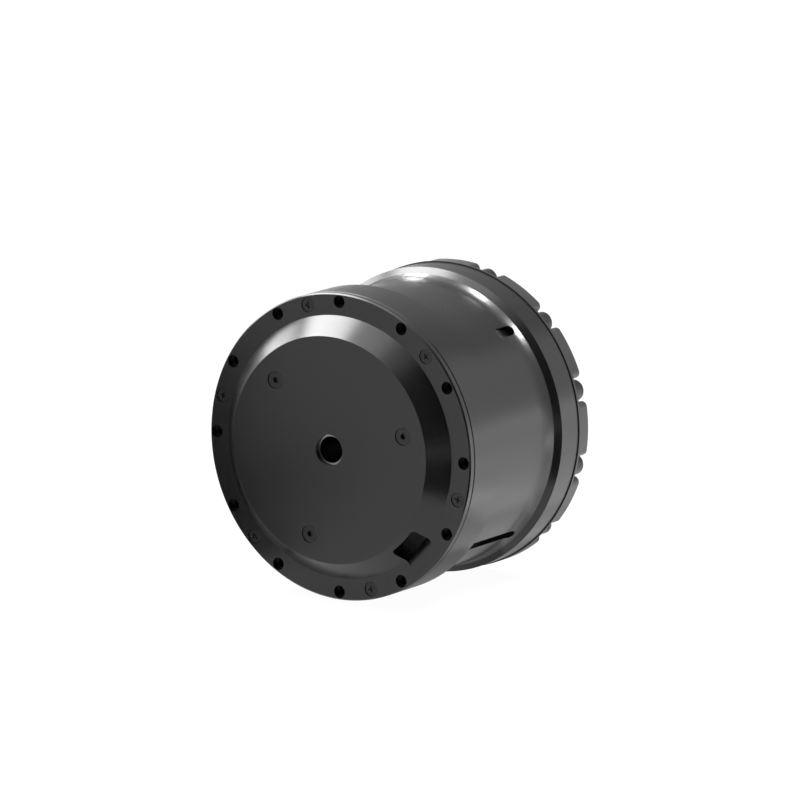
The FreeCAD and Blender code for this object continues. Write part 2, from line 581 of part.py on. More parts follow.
def bearing_outer_ring():
    depth = RACE_HALF_DIAGONAL - RING_GAP / 2
    seal_start = FLANGE_FACE_STATION - SEAL_THICKNESS
    outer = turned(
        (OUTER_RACE_RADIUS, RING_FRONT_STATION), (GEAR_BORE_RADIUS - SEAT_CLEARANCE, RING_FRONT_STATION),
        (GEAR_BORE_RADIUS - SEAT_CLEARANCE, REAR_FACE_STATION), (FLANGE_RADIUS, REAR_FACE_STATION),
        (FLANGE_RADIUS, FLANGE_FACE_STATION), (OUTER_RACE_RADIUS + SEAL_WIDTH, FLANGE_FACE_STATION),
        (OUTER_RACE_RADIUS + SEAL_WIDTH, seal_start), (OUTER_RACE_RADIUS, seal_start),
        (OUTER_RACE_RADIUS, ROLLER_STATION + depth), (OUTER_RACE_RADIUS + depth, ROLLER_STATION),
        (OUTER_RACE_RADIUS, ROLLER_STATION - depth))
    tools = around(scallop(), FLANGE_SCREW_COUNT, FLANGE_SCREW_CLOCK)
    tools += around(post(FLANGE_SCREW_SHANK_RADIUS + SEAT_CLEARANCE, FLANGE_SCREW_CIRCLE,
                         REAR_FACE_STATION - 1, FLANGE_FACE_STATION),
                    FLANGE_SCREW_COUNT, FLANGE_SCREW_CLOCK)
    tools += around(post(SPLINE_SCREW_SHANK_RADIUS + SEAT_CLEARANCE, SPLINE_SCREW_CIRCLE,
                         RING_FRONT_STATION - 1, RING_FRONT_STATION + SPLINE_SCREW_GRIP + 0.1),
                    SPLINE_SCREW_COUNT)
    return outer.cut(tools)


def flange_screws():
    seat = REAR_FACE_STATION + FLANGE_BASE_THICKNESS
    screw = cap_screw(FLANGE_SCREW_HEAD_RADIUS, FLANGE_FACE_STATION - seat,
                      FLANGE_SCREW_SHANK_RADIUS, FLANGE_SCREW_CIRCLE, seat,
                      FLANGE_SCREW_DEPTH + FLANGE_BASE_THICKNESS, FLANGE_SCREW_SOCKET)
    return group(around(screw, FLANGE_SCREW_COUNT, FLANGE_SCREW_CLOCK))


def crossed_rollers():
    """Short rollers in a V race, each turned square to its neighbours."""
    rollers = []
    length = ROLLER_DIAMETER - 2 * RUNNING_CLEARANCE
    for index in range(ROLLER_COUNT):
        lean = 45 if index % 2 else -45
        roller = Part.makeCylinder(ROLLER_DIAMETER / 2, length, Vector(0, 0, -length / 2))
        roller.rotate(ORIGIN, Vector(1, 0, 0), lean)
        roller.translate(Vector(0, ROLLER_STATION, ROLLER_CIRCLE))
        rollers.append(spun(roller, 360.0 / ROLLER_COUNT * index))
    return group(rollers)


def roller_separators():
    """Diamond spacers that keep the rollers apart."""
    pitch = 2 * math.pi * ROLLER_CIRCLE / ROLLER_COUNT
    thickness = pitch - ROLLER_DIAMETER - 0.4
    reach = RACE_HALF_DIAGONAL - 3 * RUNNING_CLEARANCE
    middle = ROLLER_STATION
    corners = [Vector(-thickness / 2, middle, ROLLER_CIRCLE - reach),
               Vector(-thickness / 2, middle + reach, ROLLER_CIRCLE),
               Vector(-thickness / 2, middle, ROLLER_CIRCLE + reach),
               Vector(-thickness / 2, middle - reach, ROLLER_CIRCLE)]
    face = Part.Face(Part.makePolygon(corners + corners[:1]))
    spacer = face.extrude(Vector(thickness, 0, 0))
    return group(around(spacer, ROLLER_COUNT, 180.0 / ROLLER_COUNT))


def output_seal():
    start = FLANGE_FACE_STATION - SEAL_THICKNESS
    lip = INNER_RACE_RADIUS + RUNNING_CLEARANCE
    outside = OUTER_RACE_RADIUS + SEAL_WIDTH - SEAT_CLEARANCE
    end = FLANGE_FACE_STATION - 0.1
    return turned((lip, start + 0.35), (OUTER_RACE_RADIUS, start), (outside, start),
                  (outside, end), (OUTER_RACE_RADIUS + 0.3, end), (lip, end - 0.25))


# --- output side -------------------------------------------------------------
def output_flange():
    depth = RACE_HALF_DIAGONAL - RING_GAP / 2
    cup_radius = FLEX_PITCH_RADIUS + TOOTH_HEIGHT / 2 + 0.4
    shoulder = FLANGE_FACE_STATION + 0.3
    bore = TUBE_RADIUS + SEAT_CLEARANCE
    recess = OUTPUT_STATION - TUBE_FLANGE_THICKNESS
    flange = turned(
        (bore, OUTPUT_INNER_STATION), (cup_radius, OUTPUT_INNER_STATION),
        (cup_radius, RING_FRONT_STATION), (INNER_RACE_RADIUS, RING_FRONT_STATION),
        (INNER_RACE_RADIUS, ROLLER_STATION - depth), (INNER_RACE_RADIUS - depth, ROLLER_STATION),
        (INNER_RACE_RADIUS, ROLLER_STATION + depth), (INNER_RACE_RADIUS, shoulder),
        (OUTPUT_BOSS_RADIUS, shoulder), (OUTPUT_BOSS_RADIUS, OUTPUT_STATION),
        (TUBE_FLANGE_RADIUS + SEAT_CLEARANCE, OUTPUT_STATION),
        (TUBE_FLANGE_RADIUS + SEAT_CLEARANCE, recess), (bore, recess))
    tools = around(post(OUTPUT_BOLT_RADIUS, OUTPUT_BOLT_CIRCLE,
                        OUTPUT_STATION - OUTPUT_BOLT_DEPTH, OUTPUT_STATION + 1),
                   OUTPUT_BOLT_COUNT)
    tools += around(post(OUTPUT_DOWEL_RADIUS, OUTPUT_DOWEL_CIRCLE,
                         OUTPUT_STATION - OUTPUT_DOWEL_DEPTH, OUTPUT_STATION + 1),
                    2, OUTPUT_DOWEL_CLOCK)
    clamp_depth = OUTPUT_INNER_STATION + CLAMP_SCREW_LENGTH - CLAMP_THICKNESS - FLEX_BOSS_THICKNESS
    tools += around(post(CLAMP_SCREW_SHANK_RADIUS + SEAT_CLEARANCE, CLAMP_SCREW_CIRCLE,
                         OUTPUT_INNER_STATION - 1, clamp_depth), CLAMP_SCREW_COUNT)
    tools += around(post(TUBE_SCREW_SHANK_RADIUS + SEAT_CLEARANCE, TUBE_SCREW_CIRCLE,
                         TUBE_SCREW_SEAT - TUBE_SCREW_LENGTH, OUTPUT_STATION),
                    TUBE_SCREW_COUNT, 45)
    return flange.cut(tools)


def hollow_shaft():
    flange_start = OUTPUT_STATION - TUBE_FLANGE_THICKNESS
    tube = turned(
        (TUBE_BORE_RADIUS, TUBE_FRONT_STATION), (TUBE_RADIUS, TUBE_FRONT_STATION),
        (TUBE_RADIUS, flange_start), (TUBE_FLANGE_RADIUS, flange_start),
        (TUBE_FLANGE_RADIUS, OUTPUT_STATION), (TUBE_BORE_RADIUS, OUTPUT_STATION))
    head = post(TUBE_SCREW_HEAD_RADIUS + SEAT_CLEARANCE, TUBE_SCREW_CIRCLE,
                TUBE_SCREW_SEAT, OUTPUT_STATION + 1)
    shank = post(TUBE_SCREW_SHANK_RADIUS + SEAT_CLEARANCE, TUBE_SCREW_CIRCLE,
                 flange_start - 1, OUTPUT_STATION)
    return tube.cut(around(head.fuse(shank), TUBE_SCREW_COUNT, 45))


def hollow_shaft_screws():
    screw = cap_screw(TUBE_SCREW_HEAD_RADIUS, TUBE_SCREW_HEAD_HEIGHT, TUBE_SCREW_SHANK_RADIUS,
                      TUBE_SCREW_CIRCLE, TUBE_SCREW_SEAT, TUBE_SCREW_LENGTH,
                      TUBE_SCREW_HEAD_RADIUS)
    return group(around(screw, TUBE_SCREW_COUNT, 45))


# --- strain wave gear --------------------------------------------------------
def toothed_outline(teeth, root_radius, tip_radius, root_share, tip_share):
    """A closed outline of straight-sided teeth in the plane y = 0."""
    pitch = 2 * math.pi / teeth
    points = []
    for index in range(teeth):
        middle = pitch * index
        for radius, share in ((root_radius, -root_share), (tip_radius, -tip_share),
                              (tip_radius, tip_share), (root_radius, root_share)):
            angle = middle + share * pitch
            points.append(Vector(radius * math.sin(angle), 0, radius * math.cos(angle)))
    return Part.Face(Part.makePolygon(points + points[:1]))


def toothed_prism(outline, start, end):
    """A toothed outline drawn out between two stations."""
    prism = outline.extrude(Vector(0, end - start, 0))
    prism.translate(Vector(0, start, 0))
    return prism


def circular_spline():
    tip = SPLINE_PITCH_RADIUS - TOOTH_HEIGHT / 2 + 0.05
    outline = toothed_outline(SPLINE_TEETH, tip, tip + TOOTH_HEIGHT, 0.32, 0.16)
    end = RING_FRONT_STATION
    body = disc(GEAR_BORE_RADIUS - SEAT_CLEARANCE, SPLINE_STATION, end)
    body = body.cut(toothed_prism(outline, SPLINE_STATION - 1, end + 1))
    shank = post(SPLINE_SCREW_SHANK_RADIUS + SEAT_CLEARANCE, SPLINE_SCREW_CIRCLE,
                 SPLINE_SCREW_SEAT - 1, end + 1)
    head = post(SPLINE_SCREW_HEAD_RADIUS + SEAT_CLEARANCE, SPLINE_SCREW_CIRCLE,
                SPLINE_STATION - 1, SPLINE_SCREW_SEAT)
    return body.cut(around(head.fuse(shank), SPLINE_SCREW_COUNT))


def circular_spline_screws():
    length = RING_FRONT_STATION + SPLINE_SCREW_GRIP - SPLINE_SCREW_SEAT
    screw = cap_screw(SPLINE_SCREW_HEAD_RADIUS, SPLINE_SCREW_HEAD_HEIGHT,
                      SPLINE_SCREW_SHANK_RADIUS, SPLINE_SCREW_CIRCLE, SPLINE_SCREW_SEAT,
                      length, SPLINE_SCREW_HEAD_RADIUS, towards=-1)
    return group(around(screw, SPLINE_SCREW_COUNT))


def flexspline():
    """The thin toothed cup, drawn in its relaxed round shape."""
    gear_end = GEAR_STATION + GEAR_WIDTH
    wall_radius = FLEX_ROOT_RADIUS - 0.1
    boss_front = OUTPUT_INNER_STATION - FLEX_BOSS_THICKNESS
    base = OUTPUT_INNER_STATION - FLEX_WALL - 0.3
    cup = turned(
        (FLEX_BORE_RADIUS, GEAR_STATION), (FLEX_ROOT_RADIUS, GEAR_STATION),
        (FLEX_ROOT_RADIUS, gear_end), (wall_radius, gear_end),
        (wall_radius, base), (wall_radius - 0.3, base + 0.3),
        (FLEX_BOSS_RADIUS, base + 0.3), (FLEX_BOSS_RADIUS, OUTPUT_INNER_STATION),
        (CLAMP_SCREW_CIRCLE - 3.4, OUTPUT_INNER_STATION), (CLAMP_SCREW_CIRCLE - 3.4, boss_front),
        (FLEX_BOSS_RADIUS + 0.5, boss_front), (FLEX_BOSS_RADIUS + 0.5, base - 0.1),
        (FLEX_BORE_RADIUS, base - 0.1))
    outline = toothed_outline(FLEX_TEETH, FLEX_ROOT_RADIUS - 0.2, FLEX_ROOT_RADIUS + TOOTH_HEIGHT,
                              0.32, 0.16)
    teeth = toothed_prism(outline, GEAR_STATION, gear_end)
    teeth = teeth.cut(disc(FLEX_ROOT_RADIUS - 0.2, GEAR_STATION - 1, gear_end + 1))
    cup = cup.fuse(teeth)
    holes = around(post(CLAMP_SCREW_SHANK_RADIUS + SEAT_CLEARANCE, CLAMP_SCREW_CIRCLE,
                        boss_front - 1, OUTPUT_INNER_STATION + 1), CLAMP_SCREW_COUNT)
    return cup.cut(holes)


def flexspline_clamp():
    front = OUTPUT_INNER_STATION - FLEX_BOSS_THICKNESS - CLAMP_THICKNESS
    clamp = ring(CLAMP_SCREW_CIRCLE - 3.4, FLEX_BOSS_RADIUS, front, front + CLAMP_THICKNESS)
    holes = around(post(CLAMP_SCREW_SHANK_RADIUS + SEAT_CLEARANCE, CLAMP_SCREW_CIRCLE,
                        front - 1, front + CLAMP_THICKNESS + 1), CLAMP_SCREW_COUNT)
    return clamp.cut(holes)


def flexspline_screws():
    seat = OUTPUT_INNER_STATION - FLEX_BOSS_THICKNESS - CLAMP_THICKNESS
    screw = cap_screw(CLAMP_SCREW_HEAD_RADIUS, CLAMP_SCREW_HEAD_HEIGHT, CLAMP_SCREW_SHANK_RADIUS,
                      CLAMP_SCREW_CIRCLE, seat, CLAMP_SCREW_LENGTH, 1.3, towards=-1)
    return group(around(screw, CLAMP_SCREW_COUNT))


def oval(offset):
    """Half height and half width of the wave generator's oval at a depth."""
    major = FLEX_BORE_RADIUS - RUNNING_CLEARANCE - offset
    return major, major - 2 * WAVE_HALF_STROKE


def oval_disc(offset, start, end):
    """A solid oval disc on the axis between two stations."""
    major, minor = oval(offset)
    ellipse = Part.Ellipse(ORIGIN, major, minor)
    face = Part.Face(Part.Wire([ellipse.toShape()]))
    body = face.extrude(Vector(0, 0, end - start))
    body.rotate(ORIGIN, Vector(1, 0, 0), -90)
    body.rotate(ORIGIN, AXIS, 90)
    body.translate(Vector(0, start, 0))
    return body


def wave_bearing_outer():
    end = GEAR_STATION + WAVE_BEARING_WIDTH
    return oval_disc(0, GEAR_STATION, end).cut(oval_disc(WAVE_OUTER_RING, GEAR_STATION - 1, end + 1))


def wave_bearing_inner():
    depth = WAVE_OUTER_RING + WAVE_BALL_DIAMETER
    end = GEAR_STATION + WAVE_BEARING_WIDTH
    inner = oval_disc(depth, GEAR_STATION, end)
    return inner.cut(oval_disc(depth + WAVE_INNER_RING, GEAR_STATION - 1, end + 1))


def wave_bearing_balls():
    """Balls on the oval track between the two thin rings."""
    major, minor = oval(WAVE_OUTER_RING + WAVE_BALL_DIAMETER / 2)
    middle = GEAR_STATION + WAVE_BEARING_WIDTH / 2
    radius = WAVE_BALL_DIAMETER / 2 - SEAT_CLEARANCE
    balls = []
    for index in range(WAVE_BALL_COUNT):
        angle = 2 * math.pi * index / WAVE_BALL_COUNT
        place = Vector(minor * math.sin(angle), middle, major * math.cos(angle))
        balls.append(Part.makeSphere(radius, place))
    return group(balls)


def wave_generator_plug():
    depth = WAVE_OUTER_RING + WAVE_BALL_DIAMETER + WAVE_INNER_RING
    end = GEAR_STATION + WAVE_BEARING_WIDTH
    plug = oval_disc(depth, GEAR_STATION, end)
    return plug.cut(disc(PLUG_SEAT_RADIUS + SEAT_CLEARANCE, GEAR_STATION - 1, end + 1))


def plug_retaining_ring():
    start = GEAR_STATION + WAVE_BEARING_WIDTH
    clip = ring(PLUG_SEAT_RADIUS - 0.5, PLUG_SEAT_RADIUS + 1.2, start, start + 0.7)
    return clip.cut(block(2.2, PLUG_SEAT_RADIUS - 2, PLUG_SEAT_RADIUS + 2, start - 1, start + 2))


# --- motor -------------------------------------------------------------------
def stator_core():
    end = STATOR_STATION + STATOR_LENGTH
    outside = MOTOR_BORE_RADIUS - SEAT_CLEARANCE
    yoke = ring(outside - YOKE_THICKNESS, outside, STATOR_STATION, end)
    tip_top = STATOR_BORE_RADIUS + TOOTH_TIP_HEIGHT
    tooth = block(TOOTH_WIDTH, STATOR_BORE_RADIUS - 1, outside - YOKE_THICKNESS / 2,
                  STATOR_STATION, end)
    half_angle = math.pi / SLOT_COUNT - TOOTH_TIP_GAP / 2 / STATOR_BORE_RADIUS
    half = tip_top * math.sin(half_angle)
    shoe = block(2 * half, STATOR_BORE_RADIUS - 1, tip_top, STATOR_STATION, end)
    tooth = tooth.fuse(shoe)
    core = yoke.fuse(around(tooth, SLOT_COUNT))
    return core.cut(disc(STATOR_BORE_RADIUS, STATOR_STATION - 1, end + 1)).removeSplitter()


def stator_windings():
    """One coil round each tooth."""
    end = STATOR_STATION + STATOR_LENGTH
    low = STATOR_BORE_RADIUS + TOOTH_TIP_HEIGHT + 0.3
    high = MOTOR_BORE_RADIUS - YOKE_THICKNESS - 0.5
    gap = 0.1
    inner = block(TOOTH_WIDTH + 2 * gap, low - 1, high + 1, STATOR_STATION - gap, end + gap)
    room = 2 * (low * math.sin(math.pi / SLOT_COUNT)) - 0.3
    width = min(TOOTH_WIDTH + 2 * COIL_THICKNESS, room)
    outer = block(width, low, high, STATOR_STATION - COIL_OVERHANG, end + COIL_OVERHANG)
    corner_edges = [edge for edge in outer.Edges if edge.BoundBox.ZLength > (high - low) / 2]
    outer = outer.makeFillet((width - TOOTH_WIDTH) / 2, corner_edges)
    return group(around(outer.cut(inner), SLOT_COUNT))


def rotor_core():
    half = STATOR_LENGTH / 2 + ROTOR_RIM_OVERLAP
    start, end = ROTOR_MIDDLE_STATION - half, ROTOR_MIDDLE_STATION + half
    web = ROTOR_WEB_THICKNESS / 2
    bore = SHAFT_SHOULDER_RADIUS + SEAT_CLEARANCE
    core = turned(
        (ROTOR_RIM_BORE, start), (ROTOR_RIM_RADIUS, start), (ROTOR_RIM_RADIUS, end),
        (ROTOR_RIM_BORE, end), (ROTOR_RIM_BORE, ROTOR_MIDDLE_STATION + web),
        (bore, ROTOR_MIDDLE_STATION + web), (bore, ROTOR_MIDDLE_STATION - web),
        (ROTOR_RIM_BORE, ROTOR_MIDDLE_STATION - web))
    return core


def rotor_magnets():
    start = STATOR_STATION
    end = STATOR_STATION + STATOR_LENGTH
    sweep = 360.0 / MAGNET_COUNT * MAGNET_COVER
    low, high = ROTOR_RIM_RADIUS + SEAT_CLEARANCE, ROTOR_MAGNET_RADIUS
    face = Part.makePolygon([Vector(0, start, low), Vector(0, start, high),
                             Vector(0, end, high), Vector(0, end, low),
                             Vector(0, start, low)])
    magnet = Part.Face(face).revolve(ORIGIN, AXIS, sweep)
    return group(around(magnet, MAGNET_COUNT, -sweep / 2))


def rotor_shaft():
    front_end = FRONT_BEARING_STATION + BEARING_WIDTH
    gear_end = GEAR_STATION + WAVE_BEARING_WIDTH
    clip_end = gear_end + 0.7
    seat = BEARING_BORE_RADIUS - SEAT_CLEARANCE
    return turned(
        (SHAFT_BORE_RADIUS, SHAFT_FRONT_STATION), (seat, SHAFT_FRONT_STATION),
        (seat, front_end), (SHAFT_SHOULDER_RADIUS, front_end),
        (SHAFT_SHOULDER_RADIUS, REAR_BEARING_STATION), (seat, REAR_BEARING_STATION),
        (seat, GEAR_STATION), (PLUG_SEAT_RADIUS, GEAR_STATION), (PLUG_SEAT_RADIUS, gear_end),
        (PLUG_SEAT_RADIUS - 0.5, gear_end), (PLUG_SEAT_RADIUS - 0.5, clip_end),
        (PLUG_SEAT_RADIUS, clip_end), (PLUG_SEAT_RADIUS, clip_end + 0.4),
        (SHAFT_BORE_RADIUS, clip_end + 0.4))


# --- motor bearings ----------------------------------------------------------
BALL_CIRCLE = (BEARING_BORE_RADIUS + BEARING_OUTER_RADIUS) / 2
BEARING_LAND = 0.75


def bearing_outer(station):
    """The outer ring of a motor bearing, with its ball groove."""
    middle = station + BEARING_WIDTH / 2
    groove = BALL_CIRCLE + BEARING_BALL_DIAMETER / 2 + RUNNING_CLEARANCE
    land = BALL_CIRCLE + BEARING_LAND
    reach = math.sqrt((groove - BALL_CIRCLE) ** 2 - BEARING_LAND ** 2)
    sagitta = groove - land
    outside = BEARING_OUTER_RADIUS - SEAT_CLEARANCE
    return turned((land, station), (outside, station), (outside, station + BEARING_WIDTH),
                  (land, station + BEARING_WIDTH), (land, middle + reach),
                  (land, middle - reach, sagitta))


def bearing_inner(station):
    """The inner ring of a motor bearing, with its ball groove."""
    middle = station + BEARING_WIDTH / 2
    groove = BALL_CIRCLE - BEARING_BALL_DIAMETER / 2 - RUNNING_CLEARANCE
    land = BALL_CIRCLE - BEARING_LAND
    reach = math.sqrt((BALL_CIRCLE - groove) ** 2 - BEARING_LAND ** 2)
    sagitta = land - groove
    return turned((BEARING_BORE_RADIUS, station), (land, station), (land, middle - reach),
                  (land, middle + reach, sagitta), (land, station + BEARING_WIDTH),
                  (BEARING_BORE_RADIUS, station + BEARING_WIDTH))


def bearing_balls(station):
    """The balls of a motor bearing, held in their cage."""
    middle = station + BEARING_WIDTH / 2
    ball = Part.makeSphere(BEARING_BALL_DIAMETER / 2, Vector(0, middle, BALL_CIRCLE))
    cage = ring(BALL_CIRCLE - 0.35, BALL_CIRCLE + 0.35, station + 1.0, station + BEARING_WIDTH - 1.0)
    return cage.fuse(around(ball, BEARING_BALL_COUNT))


def bearing_carrier():
    """The plate that carries the front motor bearing and closes the motor."""
    hub_end = FRONT_BEARING_STATION + BEARING_WIDTH
    lip = BEARING_OUTER_RADIUS - 1.4
    carrier = turned(
        (lip, CARRIER_STATION), (BAY_RADIUS - SEAT_CLEARANCE, CARRIER_STATION),
        (BAY_RADIUS - SEAT_CLEARANCE, CARRIER_SEAT_STATION), (HUB_RADIUS, CARRIER_SEAT_STATION),
        (HUB_RADIUS, hub_end), (BEARING_OUTER_RADIUS, hub_end),
        (BEARING_OUTER_RADIUS, FRONT_BEARING_STATION), (lip, FRONT_BEARING_STATION))
    wires = around(post(2.4, STATOR_BORE_RADIUS + 4.5, CARRIER_STATION - 1,
                        CARRIER_SEAT_STATION + 1), 3, 0)
    return carrier.cut(wires)


def carrier_retaining_ring():
    start = CARRIER_STATION - RETAINING_RING_THICKNESS + SEAT_CLEARANCE
    outside = BAY_RADIUS + RETAINING_RING_DEPTH - SEAT_CLEARANCE
    clip = ring(BAY_RADIUS - 1.6, outside, start, CARRIER_STATION)
    return clip.cut(block(6.0, BAY_RADIUS - 4, BAY_RADIUS + 2, start - 1, CARRIER_STATION + 1))


def motor_shaft_seal():
    start = WEB_REAR_STATION
    end = start + SHAFT_SEAL_THICKNESS
    lip = BEARING_BORE_RADIUS - SEAT_CLEARANCE + RUNNING_CLEARANCE
    outside = BEARING_OUTER_RADIUS - SEAT_CLEARANCE
    return turned((lip, end - 0.9), (lip + 1.2, start), (outside, start), (outside, end),
                  (lip + 1.2, end), (lip, end - 0.5))


# --- electronics -------------------------------------------------------------
def cover_pillars():
    body = hexagon(2 * PILLAR_RADIUS, HEX_SCREW_CIRCLE, COVER_INNER_STATION, DRIVER_BOARD_STATION)
    hole = post(HEX_SCREW_SHANK_RADIUS + SEAT_CLEARANCE, HEX_SCREW_CIRCLE,
                COVER_INNER_STATION - 1, PLATEAU_STATION + HEX_SCREW_LENGTH + 0.3)
    return group(around(body.cut(hole), HEX_SCREW_COUNT, HEX_SCREW_CLOCK))


def driver_board():
    board = ring(DRIVER_BOARD_BORE, DRIVER_BOARD_RADIUS, DRIVER_BOARD_STATION, DRIVER_BOARD_REAR)
    holes = around(post(PILLAR_SCREW_SHANK_RADIUS + SEAT_CLEARANCE, PILLAR_CIRCLE,
                        DRIVER_BOARD_STATION - 1, DRIVER_BOARD_REAR + 1), 3, PILLAR_CLOCK)
    return board.cut(holes)


def board_pillars():
    body = hexagon(2 * PILLAR_RADIUS, PILLAR_CIRCLE, DRIVER_BOARD_REAR, CARRIER_STATION)
    hole = post(PILLAR_SCREW_SHANK_RADIUS + SEAT_CLEARANCE, PILLAR_CIRCLE,
                DRIVER_BOARD_REAR - 1, DRIVER_BOARD_REAR + 4)
    return group(around(body.cut(hole), 3, PILLAR_CLOCK))


def board_screws():
    screw = cap_screw(1.5, 1.1, PILLAR_SCREW_SHANK_RADIUS, PILLAR_CIRCLE, DRIVER_BOARD_STATION,
                      BOARD_THICKNESS + 3.5, 1.2, towards=-1)
    return group(around(screw, 3, PILLAR_CLOCK))


def driver_mosfets():
    chip = block(5.0, 13.0, 19.0, DRIVER_BOARD_REAR, DRIVER_BOARD_REAR + 1.0)
    return group(around(chip, MOSFET_COUNT, 15))


def driver_capacitors():
    can = post(CAPACITOR_RADIUS, DRIVER_BOARD_RADIUS - CAPACITOR_INSET,
               DRIVER_BOARD_STATION - CAPACITOR_HEIGHT, DRIVER_BOARD_STATION)
    return group([spun(can, CAPACITOR_CLOCK + CAPACITOR_PITCH_ANGLE * index) for index in range(3)])


def driver_processor():
    chip = block(PROCESSOR_SIDE, PROCESSOR_INNER_EDGE, PROCESSOR_INNER_EDGE + PROCESSOR_SIDE,
                 DRIVER_BOARD_STATION - PROCESSOR_HEIGHT, DRIVER_BOARD_STATION)
    return spun(chip, PROCESSOR_CLOCK)


def cable_connector():
    """The socket on the driver board, facing the window in the cover."""
    high = PLATEAU_RADIUS - CONNECTOR_INSET
    width = WINDOW_WIDTH - CONNECTOR_WALL
    body = block(width, high - CONNECTOR_DEPTH, high, CONNECTOR_FRONT_STATION, DRIVER_BOARD_STATION)
    mouth = block(width - 2 * CONNECTOR_WALL, high - CONNECTOR_DEPTH * 0.75, high + 1,
                  CONNECTOR_FRONT_STATION + 0.8, DRIVER_BOARD_STATION - 1.4)
    return spun(body.cut(mouth), WINDOW_CLOCK)


def encoder_board():
    board = ring(DRIVER_BOARD_BORE - 1.2, ENCODER_BOARD_RADIUS, ENCODER_BOARD_STATION,
                 ENCODER_BOARD_REAR)
    holes = around(post(PILLAR_SCREW_SHANK_RADIUS + SEAT_CLEARANCE, ENCODER_PILLAR_CIRCLE,
                        ENCODER_BOARD_STATION - 1, ENCODER_BOARD_REAR + 1), 3, HEX_SCREW_CLOCK)
    return board.cut(holes)


def encoder_pillars():
    body = hexagon(2 * PILLAR_RADIUS, ENCODER_PILLAR_CIRCLE, ENCODER_BOARD_REAR, CARRIER_STATION)
    hole = post(PILLAR_SCREW_SHANK_RADIUS + SEAT_CLEARANCE, ENCODER_PILLAR_CIRCLE,
                ENCODER_BOARD_REAR - 1, ENCODER_BOARD_REAR + 3)
    return group(around(body.cut(hole), 3, HEX_SCREW_CLOCK))


def encoder_screws():
    screw = cap_screw(1.5, 1.1, PILLAR_SCREW_SHANK_RADIUS, ENCODER_PILLAR_CIRCLE,
                      ENCODER_BOARD_STATION, ENCODER_BOARD_THICKNESS + 2.5, 1.2, towards=-1)
    return group(around(screw, 3, HEX_SCREW_CLOCK))


def output_encoder_disc():
    """Magnet disc on a hub that is clamped to the hollow shaft."""
    start = OUTPUT_DISC_STATION
    end = start + ENCODER_DISC_THICKNESS
    bore = TUBE_RADIUS + SEAT_CLEARANCE
    return turned((bore, start - 1.0), (bore + 1.6, start - 1.0), (bore + 1.6, start),
                  (ENCODER_DISC_OUTER, start), (ENCODER_DISC_OUTER, end), (bore, end))


def motor_encoder_disc():
    """Magnet disc pressed on the front end of the motor shaft."""
    start = MOTOR_DISC_STATION
    end = start + ENCODER_DISC_THICKNESS
    bore = BEARING_BORE_RADIUS
    return turned((bore, start), (ENCODER_DISC_OUTER, start), (ENCODER_DISC_OUTER, end),
                  (bore + 1.2, end), (bore + 1.2, end + 0.6), (bore, end + 0.6))


PIECES = {
    "front_cover": front_cover,
    "cover_cross_screws": cover_cross_screws,
    "cover_hex_screws": cover_hex_screws,
    "cover_oring": cover_oring,
    "main_housing": main_housing,
    "bearing_outer_ring": bearing_outer_ring,
    "flange_screws": flange_screws,
    "crossed_rollers": crossed_rollers,
    "roller_separators": roller_separators,
    "output_seal": output_seal,
    "output_flange": output_flange,
    "hollow_shaft": hollow_shaft,
    "hollow_shaft_screws": hollow_shaft_screws,
    "circular_spline": circular_spline,
    "circular_spline_screws": circular_spline_screws,
    "flexspline": flexspline,
    "flexspline_clamp": flexspline_clamp,
    "flexspline_screws": flexspline_screws,
    "wave_bearing_outer": wave_bearing_outer,
    "wave_bearing_balls": wave_bearing_balls,
    "wave_bearing_inner": wave_bearing_inner,
    "wave_generator_plug": wave_generator_plug,
    "plug_retaining_ring": plug_retaining_ring,
    "stator_core": stator_core,
    "stator_windings": stator_windings,
    "rotor_core": rotor_core,
    "rotor_magnets": rotor_magnets,
    "rotor_shaft": rotor_shaft,
    "front_bearing_outer": lambda: bearing_outer(FRONT_BEARING_STATION),
    "front_bearing_balls": lambda: bearing_balls(FRONT_BEARING_STATION),
    "front_bearing_inner": lambda: bearing_inner(FRONT_BEARING_STATION),
    "rear_bearing_outer": lambda: bearing_outer(REAR_BEARING_STATION),
    "rear_bearing_balls": lambda: bearing_balls(REAR_BEARING_STATION),
    "rear_bearing_inner": lambda: bearing_inner(REAR_BEARING_STATION),
    "bearing_carrier": bearing_carrier,
    "carrier_retaining_ring": carrier_retaining_ring,
    "motor_shaft_seal": motor_shaft_seal,
    "cover_pillars": cover_pillars,
    "driver_board": driver_board,
    "board_pillars": board_pillars,
    "board_screws": board_screws,
    "driver_mosfets": driver_mosfets,
    "driver_capacitors": driver_capacitors,
    "driver_processor": driver_processor,
    "cable_connector": cable_connector,
    "encoder_board": encoder_board,
    "encoder_pillars": encoder_pillars,
    "encoder_screws": encoder_screws,
    "output_encoder_disc": output_encoder_disc,
    "motor_encoder_disc": motor_encoder_disc,
}


def main():
    os.makedirs("parts", exist_ok=True)
    for name, make in PIECES.items():
        shape = make()
        shape.exportStep("parts/" + name + ".step")
        print(name, len(shape.Solids), "solids, valid", shape.isValid(), "volume", round(shape.Volume, 2))


main()
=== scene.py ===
"""Dress the hollow-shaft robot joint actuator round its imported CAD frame.

All sizes are in metres, in the frame of the CAD model: the joint axis is Y, the
mounting face of the end cover is y = 0 and the output face looks along +Y.  A clock
angle is a place round the axis in degrees, 0 at the top and 90 towards +X.
"""
import logging
import math
from dataclasses import dataclass, field
from enum import Enum
from typing import Optional, Union

import bmesh
import bpy
from mathutils import Matrix, Vector


